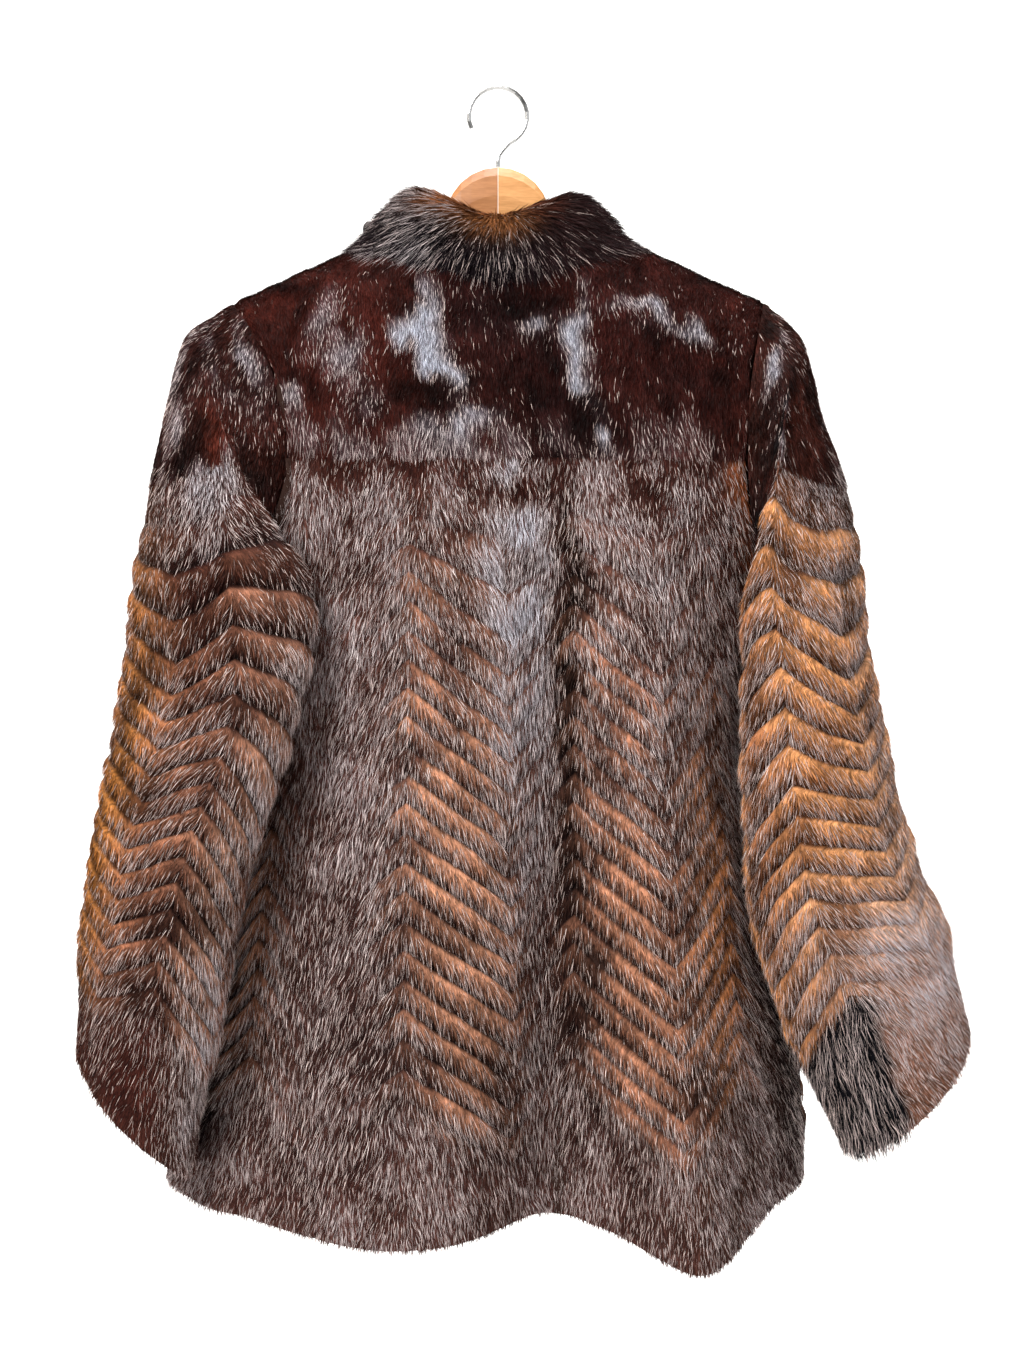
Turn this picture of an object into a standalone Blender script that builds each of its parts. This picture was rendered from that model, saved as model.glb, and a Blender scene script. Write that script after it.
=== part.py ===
"""A hip-length ribbed mink jacket hanging on a contoured wooden hanger.

Metres, +Z up. The origin is the inside top of the hanger's hook. The jacket's back faces -Y
and its open front faces +Y. Left and right in the names are those of someone who looks at the back.
"""

import math
from collections import namedtuple

import bmesh
import bpy
import numpy as np
from mathutils import Matrix

for old in list(bpy.data.objects):
    bpy.data.objects.remove(old)

# Pelt and seams
WALL = 0.007  # leather with its fur, as far as the fur reaches
SEAM = 0.0003  # gap between pieces that are sewn together
HALF_SEAM = SEAM / 2
THIN_WALL = 0.0035  # at the top of the fronts and the sleeves, where they bend tightly
NUDGE = 0.0005  # step for reading a surface's slope
SHARP_ANGLE = math.radians(50)  # edges bent by more than this are shaded sharp
SIDES = {"left": -1, "right": 1}

# Heights
YOKE_Z = -0.280
HEM_Z = -0.832
HEM_RISE = 0.016  # of the hem at the side seams

# Shoulders and neck
SHOULDER_X = 0.198  # top of the armhole
NECK_X = 0.110  # where the shoulder seam meets the collar
NECK_Z = -0.1195
SHOULDER_SLOPE = 0.45
SHOULDER_ROUND = 0.070  # height over which the cloth rounds over the hanger
NECK_DIP = 0.0135

# Ribs: each chevron column falls from a spine line to a valley line
RIB_PITCH = 0.0205
RIB_HEIGHT = 0.0036
RIB_DROP = 0.054
BODY_RIBS = 22
SLEEVE_RIBS = {"left": 18, "right": 16}
CUFF_BAND = 0.050  # smooth, below the ribs
BAND_ROWS = (0.5, 1.0)  # mesh rows of the smooth band above a hem or cuff, as parts of its height
SLEEVE_RIB_DROP = 0.040
RIBS_TO_FULL = 5  # ribs over which the chevrons start below the smooth yoke
ARMPIT_RIB = 3  # the armpit is level with this rib at the side edge
ARMPIT_RAMP = ARMPIT_RIB / RIBS_TO_FULL
ARMPIT_DROP = RIB_DROP * ARMPIT_RAMP**2 * (3 - 2 * ARMPIT_RAMP)
ARMPIT_Z = YOKE_Z - HALF_SEAM - ARMPIT_RIB * RIB_PITCH - ARMPIT_DROP

# The body's sections, from the shoulders to the hem
Section = namedtuple("Section", "z centre_x centre_y half_width back front")
TORSO = (
    Section(-0.100, 0.000, 0.000, 0.300, 0.062, 0.056),
    Section(-0.200, 0.003, 0.000, 0.262, 0.068, 0.060),
    Section(-0.280, 0.005, 0.000, 0.232, 0.072, 0.066),
    Section(-0.385, 0.005, 0.006, 0.190, 0.082, 0.072),
    Section(-0.440, 0.006, 0.012, 0.179, 0.088, 0.074),
    Section(-0.600, -0.0020, 0.028, 0.1920, 0.106, 0.074),
    Section(-0.750, -0.0015, 0.042, 0.2315, 0.128, 0.078),
    Section(-0.795, -0.008, 0.044, 0.242, 0.132, 0.079),
    Section(-0.840, -0.0105, 0.044, 0.247, 0.134, 0.080),
)

FOLD_GROWTH = 1.2  # power by which a fold deepens on its way down

# Folds that hang from the yoke line to the hem, which drops where they stand out
Fold = namedtuple("Fold", "side x_yoke x_hem width depth_yoke depth_hem hem_drop")
FOLDS = (
    Fold("back", -0.055, -0.082, 0.078, 0.006, 0.032, 0.0050),
    Fold("back", 0.057, 0.036, 0.038, -0.012, -0.046, -0.0060),
    Fold("back", 0.100, 0.149, 0.047, 0.008, 0.092, 0.0240),
    Fold("back", -0.150, -0.215, 0.018, 0.000, 0.012, 0.0020),
    Fold("front", 0.090, 0.125, 0.040, 0.004, 0.030, 0.0050),
    Fold("front", -0.080, -0.110, 0.045, 0.004, 0.034, 0.0050),
    Fold("front", -0.130, -0.190, 0.022, 0.000, -0.014, -0.0020),
    Fold("front", 0.140, 0.195, 0.020, 0.000, -0.010, -0.0020),
)

# Chevron lines of the back. The first and last lie on the armholes and the side seams
Line = namedtuple("Line", "x_shoulder x_yoke x_hem")
BACK_LINES = (
    Line(-SHOULDER_X, None, None),
    Line(-0.165, -0.141, -0.190),
    Line(-NECK_X, -0.112, -0.138),
    Line(-0.060, -0.0615, -0.067),
    Line(0.000, 0.006, 0.010),
    Line(0.055, 0.055, 0.056),
    Line(NECK_X, 0.108, 0.132),
    Line(0.165, 0.150, 0.178),
    Line(SHOULDER_X, None, None),
)
FRONT_COLUMNS = 4  # chevron columns of each front
FRONT_TOP_X = 0.085  # where the collar ends
FRONT_NECK_STEPS = 2  # mesh columns of a front along the neck
FRONT_GAP_X = 0.0030  # half the gap between the front edges at the hem
OPEN_TOP_Z, OPEN_END_Z = -0.130, -0.430  # the fronts fall open between these heights
OPEN_CURVE = 1.3  # power of the front edges' curve between them

# The armhole leans in from the side by this much half way down
ARMHOLE_INSET = {"left": 0.042, "right": 0.018}
ARMHOLE_STATIONS = 18
ARMPIT_NORMALS = (0.55, 0.80)  # turns the seam's faces down, at the stations next to the armpit
ARMHOLE_GAP = 0.0006  # of the sleeve's cap, whose edge is more bent than the body's
YOKE_ROWS = 8
ARMHOLE_YOKE_ROWS = (0, 2, 4, 6, 8)  # of the yoke, at the armhole's stations from the top down
ARMHOLE_PANEL_ROWS = (2, 3, 4, 5, 6)  # half ribs of the panel, at the stations below those
EDGE_SOFT = 0.030
ARMPIT_BLEND = 0.030  # height over which the armpit's crease opens into the side seam

# Sleeve sections after the armhole: centre, half width across, half depth, turn of the depth
# towards the body, rise of the outer edge, fall of the rear edge, and how far that folds over the back
Ring = namedtuple("Ring", "x y z across depth turn rise nod tuck")
SLEEVES = {
    "left": (
        Ring(-0.2120, -0.002, -0.2860, 0.1020, 0.078, 12, 78, 2, 0.018),
        Ring(-0.2190, -0.007, -0.3180, 0.0840, 0.081, 17, 72, 5, 0.037),
        Ring(-0.2170, -0.018, -0.3600, 0.0600, 0.081, 27, 53, 8, 0.042),
        Ring(-0.2145, -0.034, -0.4350, 0.0460, 0.083, 38, 28, 8, 0.014),
        Ring(-0.2425, -0.030, -0.5800, 0.0470, 0.078, 33, 18, 8, 0.0),
        Ring(-0.2605, -0.028, -0.7000, 0.0480, 0.076, 27, 24, 14, 0.0),
        Ring(-0.2650, -0.026, -0.7560, 0.0530, 0.068, 23, 36, 22, 0.0),
    ),
    "right": (
        Ring(0.2140, -0.002, -0.2880, 0.0990, 0.076, 12, 82, 2, 0.0),
        Ring(0.2160, -0.008, -0.3200, 0.0820, 0.078, 18, 74, 5, 0.0),
        Ring(0.2235, -0.016, -0.3600, 0.0580, 0.074, 28, 59, 8, 0.0),
        Ring(0.2265, -0.026, -0.4350, 0.0430, 0.074, 26, 26, 8, 0.0),
        Ring(0.2430, -0.024, -0.5700, 0.0540, 0.080, 26, 15, 10, 0.0),
        Ring(0.2740, -0.018, -0.6650, 0.0620, 0.080, 20, 22, 16, 0.0),
        Ring(0.3010, -0.014, -0.7370, 0.0590, 0.078, 12, 35, 20, 0.0),
    ),
}
TUCK_STATION, TUCK_WIDTH = 5.2, 1.8  # armhole stations: middle of the rear edge's fold, and its spread
# Chevron lines of the sleeves: armhole station, and fall of the ribs there as part of their drop
SLEEVE_LINES = {
    "left": ((1, 0.7), (3, 0.0), (6, 1.0), (9, 0.0), (12, 1.0), (15, 0.0)),
    "right": ((1, 0.7), (4, 0.0), (7, 1.0), (10, 0.0), (13, 1.0), (16, 0.0)),
}
FIRST_RING_EXTRA = 0.030  # of length, where the sleeve turns down from the armhole
EXTRA_RINGS = 2  # rings over which it builds up
THIN_LENGTH = 0.120  # over which the wall comes to its full thickness below the cap
CAP_Z = -0.293  # level of the seam below the cap
CAP_UNDERARM = 0.012  # least length of the cap, along the sleeve's middle
LEAST_SHEAR = 0.06  # bounds the shift where the seam runs along a station's line
CAP_SOFTEN = 2  # rounds of smoothing of the cap's seam
CAP_RIBS = 8  # ribs over which the slanted seam of the cap evens out
CAP_ROWS = 6
SEAM_SAMPLES = 120  # places along a sleeve at which the cap's seam is looked for

# Collar: its rim, from the left front end round the back to the right front end
Rim = namedtuple("Rim", "at x y z bulge")
COLLAR_RIM = (
    Rim(-1.00, -0.096, 0.040, -0.094, 0.000),
    Rim(-0.70, -0.086, 0.010, -0.084, -0.004),
    Rim(-0.38, -0.060, -0.030, -0.077, 0.004),
    Rim(0.00, 0.000, -0.052, -0.100, 0.008),
    Rim(0.36, 0.058, -0.032, -0.080, 0.003),
    Rim(0.70, 0.083, 0.010, -0.090, -0.006),
    Rim(1.00, 0.092, 0.040, -0.098, 0.000),
)
COLLAR_STEPS = 24
COLLAR_THICK = 0.018
# Cross-section of the collar: part of its thickness inwards, part of its height
COLLAR_PROFILE = (
    (0.0, 0.0), (0.0, 0.25), (0.0, 0.55), (0.04, 0.80), (0.22, 0.95), (0.50, 1.0),
    (0.78, 0.95), (0.96, 0.80), (1.0, 0.50), (1.0, 0.0),
)

# Covered button, on the outside of the collar's left front corner
BUTTON_AT, BUTTON_UP = -0.94, 0.80  # round the collar and up it
BUTTON_RADIUS, BUTTON_HALF = 0.0065, 0.0045
BUTTON_SEGMENTS = 12

# Hanger: a round head and two arms, in two glued halves
HEAD_RADIUS, HEAD_Z = 0.0390, -0.0970
ARM_TOP_DROP = 0.0150  # below the outside of the shoulder
ARM_END_X = 0.188
ARM_HEIGHT_MIDDLE, ARM_HEIGHT_END = 0.052, 0.026
ARM_HALF_MIDDLE, ARM_HALF_END = 0.0085, 0.0150
HANGER_SECTIONS = 16
HEAD_SECTIONS = 6  # of those, across the round head
HANGER_SQUARE = 0.6  # power that squares the arms' oval section
HANGER_SIDES = 12
HOOK_WIRE = 0.00175
HOOK_RADIUS = 0.0200  # inside
HOOK_START, HOOK_END = -68, 205  # degrees round the hook from the stem to the tip
HOOK_STEPS = 18
HOOK_FOOT = 0.004  # straight length of the stem above the head
HOOK_SWAY = (0.35, 0.65)  # places up the stem where it bends out to the hook


def smooth(t):
    t = np.clip(t, 0.0, 1.0)
    return t * t * (3 - 2 * t)


def unit(v):
    return v / np.maximum(np.linalg.norm(v, axis=-1, keepdims=True), 1e-12)


def steady_slopes(values, knots):
    """Slopes for a cubic that never swings past its values."""
    steps = np.diff(values, axis=0) / np.diff(knots).reshape((-1,) + (1,) * (values.ndim - 1))
    before, after = steps[:-1], steps[1:]
    same = before * after > 0
    inside = np.where(same, 2 * before * after / np.where(same, before + after, 1), 0)
    return np.concatenate([steps[:1], inside, steps[-1:]])


def through(knots, values, at, steady=False):
    """Cubic through values at rising knots, read at one or many places."""
    knots, values = np.asarray(knots, float), np.asarray(values, float)
    slopes = steady_slopes(values, knots) if steady else np.gradient(values, knots, axis=0)
    at = np.clip(at, knots[0], knots[-1])
    i = np.clip(np.searchsorted(knots, at, side="right") - 1, 0, len(knots) - 2)
    wide = knots[i + 1] - knots[i]
    t = (at - knots[i]) / wide
    if values.ndim > 1 and np.ndim(t):
        t, wide = t[..., None], wide[..., None]
    start = (2 * t**3 - 3 * t**2 + 1) * values[i] + (t**3 - 2 * t**2 + t) * wide * slopes[i]
    end = (3 * t**2 - 2 * t**3) * values[i + 1] + (t**3 - t**2) * wide * slopes[i + 1]
    return start + end


# Body surface


def torso(z, column):
    rows = TORSO[::-1]
    return through([row.z for row in rows], [getattr(row, column) for row in rows], z)


def shoulder_z(x):
    return NECK_Z - SHOULDER_SLOPE * (np.abs(x) - NECK_X)


def neck_drop(x):
    """Depth of the neck edge below the shoulder line."""
    near = 1 - np.minimum(np.abs(x) / NECK_X, 1)
    return SHOULDER_ROUND * near + NECK_DIP * near * (2 - near)


def part_across(x, z):
    """-1 at the left side seam, 1 at the right one."""
    return (x - torso(z, "centre_x")) / torso(z, "half_width")


def folds(side, x, z):
    down = np.clip((YOKE_Z - z) / (YOKE_Z - HEM_Z), 0, 1)
    start = smooth((z - NECK_Z) / (YOKE_Z - NECK_Z))
    out = np.zeros_like(x)
    for fold in FOLDS:
        if fold.side == side:
            middle = fold.x_yoke + (fold.x_hem - fold.x_yoke) * down
            depth = fold.depth_yoke + (fold.depth_hem - fold.depth_yoke) * down**FOLD_GROWTH
            out += start * depth * np.exp(-(((x - middle) / fold.width) ** 2))
    return out * (1 - np.clip(part_across(x, z), -1, 1) ** 4)


def body_point(side, x, z):
    """The point of the back or the front at this x and height."""
    x, z = np.broadcast_arrays(np.asarray(x, float), np.asarray(z, float))
    across = np.clip(part_across(x, z), -1, 1)
    level = 1 - np.clip((shoulder_z(x) - z) / SHOULDER_ROUND, 0, 1)
    rounding = np.sqrt(1 - level**2)
    depth = torso(z, side) * np.sqrt(1 - across**2) + folds(side, x, z)
    facing = -1 if side == "back" else 1
    y = torso(z, "centre_y") * (1 - level) + facing * rounding * depth
    return np.stack([x, y, z], -1)


def body_normal(side, x, z):
    down = body_point(side, x, z - NUDGE) - body_point(side, x, z + NUDGE)
    along = body_point(side, x + NUDGE, z) - body_point(side, x - NUDGE, z)
    facing = 1 if side == "back" else -1
    return unit(facing * np.cross(down, along))


def side_x(hand, z):
    return torso(z, "centre_x") + SIDES[hand] * torso(z, "half_width")


def armhole_levels(top):
    """Heights of the armhole's stations from its top to the armpit."""
    part = (np.array(ARMHOLE_YOKE_ROWS) / YOKE_ROWS) ** 2
    ribs = np.array(ARMHOLE_PANEL_ROWS) / 2
    lower = YOKE_Z - HALF_SEAM - ribs * RIB_PITCH - RIB_DROP * smooth(ribs / RIBS_TO_FULL)
    return np.concatenate([top + (YOKE_Z - top) * part, lower])


def armhole_loop(hand):
    """Armhole from its top down the back, under the arm and up the front."""
    sign = SIDES[hand]
    top = shoulder_z(sign * SHOULDER_X)
    levels = armhole_levels(top)
    z = np.concatenate([levels, levels[-2:0:-1]])
    down = (top - z) / (top - ARMPIT_Z)
    straight = sign * SHOULDER_X + (side_x(hand, ARMPIT_Z) - sign * SHOULDER_X) * down
    x = straight - sign * ARMHOLE_INSET[hand] * 4 * down * (1 - down)
    back, front = body_point("back", x, z), body_point("front", x, z)
    seen_from_back = (np.arange(len(z)) < len(levels))[:, None]
    return np.where(seen_from_back, back, front)


def armhole_run(loop, side):
    """The loop's rows of one side, from the armpit up."""
    half = ARMHOLE_STATIONS // 2
    run = loop[: half + 1] if side == "back" else np.vstack([loop[:1], loop[: half - 1 : -1]])
    return run[::-1]


def edge(hand, side, z):
    """Armhole edge, or side seam below the armpit, as x and y at these heights."""
    run = armhole_run(armhole_loop(hand), side)
    x = np.interp(z, run[:, 2], run[:, 0])
    y = np.interp(z, run[:, 2], run[:, 1])
    below = z < ARMPIT_Z
    return np.where(below, side_x(hand, z), x), np.where(below, torso(z, "centre_y"), y)


def seam_slope(z):
    """How fast the side seam moves forward with height."""
    return (torso(z + NUDGE, "centre_y") - torso(z - NUDGE, "centre_y")) / (2 * NUDGE)


def soft_edge_x(hand, side, z):
    """The edge without its corner at the armpit, for the columns inside it."""
    near = (-EDGE_SOFT, -EDGE_SOFT / 2, 0, EDGE_SOFT / 2, EDGE_SOFT)
    return np.mean([edge(hand, side, z + step)[0] for step in near], axis=0)


def armhole_normals(hand):
    """Shared by the body and the sleeve, so that their edges meet face to face."""
    loop = armhole_loop(hand)
    back = body_normal("back", loop[:, 0], loop[:, 2])
    front = body_normal("front", loop[:, 0], loop[:, 2])
    half = ARMHOLE_STATIONS // 2
    body = np.where((np.arange(ARMHOLE_STATIONS) <= half)[:, None], back, front)
    body[0] = (back[0] + front[0]) / 2
    body[half] = (back[half] + front[half]) / 2
    zero = np.zeros((1, ARMHOLE_STATIONS))
    sleeve = sleeve_normal(hand, zero + NUDGE)[0]
    both = unit(body) + sleeve
    both[0, 1] = 0
    both = unit(both)
    both[[half - 1, half + 1], 1] *= ARMPIT_NORMALS[0]
    both[[half - 2, half + 2], 1] *= ARMPIT_NORMALS[1]
    both[half, 1] = both[half, 2] * seam_slope(ARMPIT_Z)
    return unit(both)


def edge_normal(hand, side, z):
    run = armhole_run(armhole_loop(hand), side)[:, 2]
    normals = armhole_run(armhole_normals(hand), side)
    on_armhole = np.stack([np.interp(z, run, normals[:, i]) for i in range(3)], -1)
    below = smooth((ARMPIT_Z - z) / ARMPIT_BLEND)[:, None]
    outwards = np.array([SIDES[hand], 0.0, 0.0])
    side = on_armhole * (1 - below) + outwards * below
    side[:, 1] = side[:, 2] * seam_slope(z)
    return np.where(below > 0, unit(side), on_armhole)


def ridge_normal(x):
    """Of the shoulder seam, at right angles to it and upright."""
    slope = shoulder_z(x + NUDGE) - shoulder_z(x - NUDGE)
    return unit(np.stack([-slope, np.zeros_like(x), np.full_like(x, 2 * NUDGE)], -1))


def front_edge_x(z):
    open_part = np.clip((z - OPEN_END_Z) / (OPEN_TOP_Z - OPEN_END_Z), 0, 1)
    return FRONT_GAP_X + (FRONT_TOP_X - FRONT_GAP_X) * open_part**OPEN_CURVE


def chevron(columns):
    """0 on a spine line, 1 on a valley line."""
    return np.abs(1 - np.mod(columns, 2))


def rib_rows(ribs):
    """Rows of a ribbed panel, from 0: a valley row, then a ridge row and a valley row a rib."""
    return np.arange(2 * ribs + 1) / 2


def hem_heights(side, x):
    """Heights of the hem: higher at the side seams, lower where a fold stands out."""
    across = np.abs(part_across(x, HEM_Z))
    near = [fold for fold in FOLDS if fold.side == side]
    drop = sum(fold.hem_drop * np.exp(-(((x - fold.x_hem) / fold.width) ** 2)) for fold in near)
    return HEM_Z + HEM_RISE * across**3 - (1 - across**4) * drop


def panel_heights(columns, low):
    """Heights of a ribbed body panel, one row an entry, and how far each row is raised."""
    rows = rib_rows(BODY_RIBS)
    ramp = smooth(rows / RIBS_TO_FULL)[:, None]
    z = YOKE_Z - HALF_SEAM - rows[:, None] * RIB_PITCH - RIB_DROP * ramp * chevron(columns)[None]
    raised = RIB_HEIGHT * ramp * (np.arange(len(rows)) % 2)[:, None] * np.ones_like(z)
    last = z[-1]
    band = [last + (low - last) * part for part in BAND_ROWS]
    return np.vstack([z, band]), np.vstack([raised, np.zeros((len(BAND_ROWS), z.shape[1]))])


def back_x(z):
    """Places across the ribbed back at rows of heights."""
    columns = np.linspace(0, len(BACK_LINES) - 1, z.shape[1])
    down = np.clip((YOKE_Z - z) / (YOKE_Z - HEM_Z), 0, 1)
    lines = []
    for i, line in enumerate(BACK_LINES):
        column = int(round(i * (z.shape[1] - 1) / (len(BACK_LINES) - 1)))
        if line.x_yoke is None:
            lines.append(soft_edge_x("left" if i == 0 else "right", "back", z[:, column]))
            continue
        x = line.x_yoke + (line.x_hem - line.x_yoke) * down[:, column]
        lines.append(x)
    at = np.arange(len(BACK_LINES))
    x = np.stack([through(at, row, columns) for row in np.stack(lines, 1)])
    return x


def flat_at_armhole(raised, z):
    """Keeps ribs off the columns that meet a sleeve."""
    raised = raised.copy()
    for column in (0, -1):
        raised[:, column] *= smooth((ARMPIT_Z - z[:, column]) / ARMPIT_BLEND)
    return raised


def thin_at_armhole(grid, first, last):
    """Wall thickness of a body piece: that of the sleeve where they meet."""
    thick = np.full(grid.shape[:2], WALL)
    for on, column in ((first, 0), (last, -1)):
        if on:
            below = smooth((ARMPIT_Z - grid[:, column, 2]) / ARMPIT_BLEND)
            thick[:, column] = THIN_WALL + (WALL - THIN_WALL) * below
    return thick[..., None]


def settle_edges(grid, side, first=None, last=None):
    """Puts the grid's outer columns on the armholes and side seams, and gives its normals."""
    normal = body_normal(side, grid[..., 0], grid[..., 2])
    for column, hand in ((0, first), (-1, last)):
        if hand:
            z = grid[:, column, 2]
            grid[:, column, 0], grid[:, column, 1] = edge(hand, side, z)
            normal[:, column] = edge_normal(hand, side, z)
    return grid, normal


# Solids


def finish(bm, name, colour, rough, metal=0.0):
    bmesh.ops.recalc_face_normals(bm, faces=bm.faces)
    mesh = bpy.data.meshes.new(name)
    bm.to_mesh(mesh)
    bm.free()
    mesh.shade_smooth()
    mesh.set_sharp_from_angle(angle=SHARP_ANGLE)
    return add_object(name, mesh, colour, rough, metal)


def add_object(name, data, colour, rough, metal=0.0):
    piece = bpy.data.objects.new(name, data)
    jacket.objects.link(piece)
    material = bpy.data.materials.new(name)
    material.use_nodes = True
    shader = material.node_tree.nodes["Principled BSDF"]
    shader.inputs["Base Color"].default_value = (*colour, 1)
    shader.inputs["Roughness"].default_value = rough
    shader.inputs["Metallic"].default_value = metal
    data.materials.append(material)
    return piece


def wall(name, grid, normal, raised, colour, closed=False, keep=None, thick=WALL, upward=False):
    """A wall: the grid with its raised ribs outside, and a plain inside on the kept rows.

    Its end faces are split the same way as those of the piece across the seam, which is along
    the sleeve's stations: these run down the back and up the front.
    """
    outer = grid + normal * raised[..., None]
    keep = list(range(len(grid))) if keep is None else keep
    inner = (grid - normal * thick)[keep]
    bm = bmesh.new()
    out = [[bm.verts.new(p) for p in row] for row in outer]
    back = [[bm.verts.new(p) for p in row] for row in inner]
    wide = grid.shape[1]
    spans = [(c, (c + 1) % wide) for c in range(wide if closed else wide - 1)]
    for a, b in spans:
        for r in range(len(out) - 1):
            bm.faces.new((out[r][a], out[r + 1][a], out[r + 1][b], out[r][b]))
        for r in range(len(back) - 1):
            bm.faces.new((back[r][b], back[r + 1][b], back[r + 1][a], back[r][a]))
        for outside, inside in ((out[0], back[0]), (out[-1], back[-1])):
            bm.faces.new((outside[a], outside[b], inside[b]))
            bm.faces.new((outside[a], inside[b], inside[a]))
    if not closed:
        for c in (0, wide - 1):
            for k in range(len(keep) - 1):
                run = [out[r][c] for r in range(keep[k], keep[k + 1] + 1)]
                if len(run) > 2:
                    bm.faces.new(run + [back[k + 1][c], back[k][c]])
                elif upward:
                    bm.faces.new((run[0], run[1], back[k][c]))
                    bm.faces.new((run[1], back[k + 1][c], back[k][c]))
                else:
                    bm.faces.new((run[0], run[1], back[k + 1][c]))
                    bm.faces.new((run[0], back[k + 1][c], back[k][c]))
    return finish(bm, name, colour, 0.7)


def kept_rows(ribbed_rows, total, whole=0):
    """The first whole rows, every valley row, and the plain rows after the last rib."""
    valleys = list(range(whole, ribbed_rows, 2))
    return list(range(whole)) + valleys + list(range(ribbed_rows, total))


# Pieces

FUR_DARK = (0.035, 0.012, 0.010)
FUR_BROWN = (0.150, 0.085, 0.070)
FUR_GOLD = (0.300, 0.160, 0.080)
FUR_BLACK = (0.020, 0.015, 0.018)
BEECH = (0.720, 0.420, 0.180)
STEEL = (0.600, 0.600, 0.600)

STEPS = 2  # mesh columns in one chevron column of the body


def seam_inset(grid, first=False, last=False, top=False, bottom=False):
    """Draws the grid's edges in by half a seam, and by a little more along the armholes."""
    grid = grid.copy()
    for on, here, near in (
        (top, np.s_[0], np.s_[1]), (bottom, np.s_[-1], np.s_[-2]),
        (first, np.s_[:, 0], np.s_[:, 1]), (last, np.s_[:, -1], np.s_[:, -2]),
    ):
        if on:
            on_armhole = (grid[here][:, 2:] > ARMPIT_Z - NUDGE) & isinstance(here, tuple)
            grid[here] += np.where(on_armhole, ARMHOLE_GAP, HALF_SEAM) * unit(grid[near] - grid[here])
    return grid


def spread(values, steps):
    at = np.arange(len(values))
    return through(at, values, np.linspace(0, len(values) - 1, (len(values) - 1) * steps + 1))


def smooth_part(side, x_top, x_yoke, first, last):
    """Upper part of the back or of a front, whose outer columns follow the armholes."""
    along = np.linspace(0, 1, YOKE_ROWS + 1)
    x = x_top[None] + (x_yoke - x_top)[None] * along[:, None]
    for column, hand in ((0, first), (-1, last)):
        if hand:
            top = shoulder_z(SIDES[hand] * SHOULDER_X)
            z = top + (YOKE_Z - top) * along**2
            x[:, column] = edge(hand, side, z)[0]
    top = shoulder_z(x) - neck_drop(x_top)[None] * (1 - along[:, None] ** 2)
    z = top[:1] + (YOKE_Z - top[:1]) * along[:, None] ** 2
    grid, normal = settle_edges(body_point(side, x, z), side, first, last)
    on_ridge = np.abs(x_top) > NECK_X - NUDGE
    on_ridge[0] = on_ridge[0] and not first
    on_ridge[-1] = on_ridge[-1] and not last
    normal[0, on_ridge] = ridge_normal(x_top[on_ridge])
    return grid, normal


def yoke_top_x():
    return spread([line.x_shoulder for line in BACK_LINES], STEPS)


def front_top_x(hand):
    at = [0, FRONT_COLUMNS * STEPS - FRONT_NECK_STEPS, FRONT_COLUMNS * STEPS]
    places = np.arange(at[-1] + 1)
    return SIDES[hand] * np.interp(places, at, [SHOULDER_X, NECK_X, FRONT_TOP_X])


def make_back():
    lines = BACK_LINES[1:-1]
    ends = [edge(hand, "back", np.array([YOKE_Z]))[0][0] for hand in SIDES]
    x_yoke = spread([ends[0], *(line.x_yoke for line in lines), ends[1]], STEPS)
    yoke, normal = smooth_part("back", yoke_top_x(), x_yoke, "left", "right")
    yoke = seam_inset(yoke, first=True, last=True, top=True, bottom=True)
    thick = thin_at_armhole(yoke, True, True)
    wall("back_yoke", yoke, normal, np.zeros(yoke.shape[:2]), FUR_DARK, thick=thick)

    columns = np.linspace(0, len(BACK_LINES) - 1, (len(BACK_LINES) - 1) * STEPS + 1)
    x_hem = back_x(np.full((1, len(columns)), HEM_Z))[0]
    z, raised = panel_heights(columns, hem_heights("back", x_hem))
    panel, normal = settle_edges(body_point("back", back_x(z), z), "back", "left", "right")
    panel = seam_inset(panel, first=True, last=True, top=True)
    raised = flat_at_armhole(raised, z)
    ribbed, armpit = 2 * BODY_RIBS + 1, 2 * ARMPIT_RIB
    keep = kept_rows(ribbed, len(z), armpit)
    thick = thin_at_armhole(panel, True, True)
    wall("back_panel", panel, normal, raised, FUR_BROWN, keep=keep, thick=thick)


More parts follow.
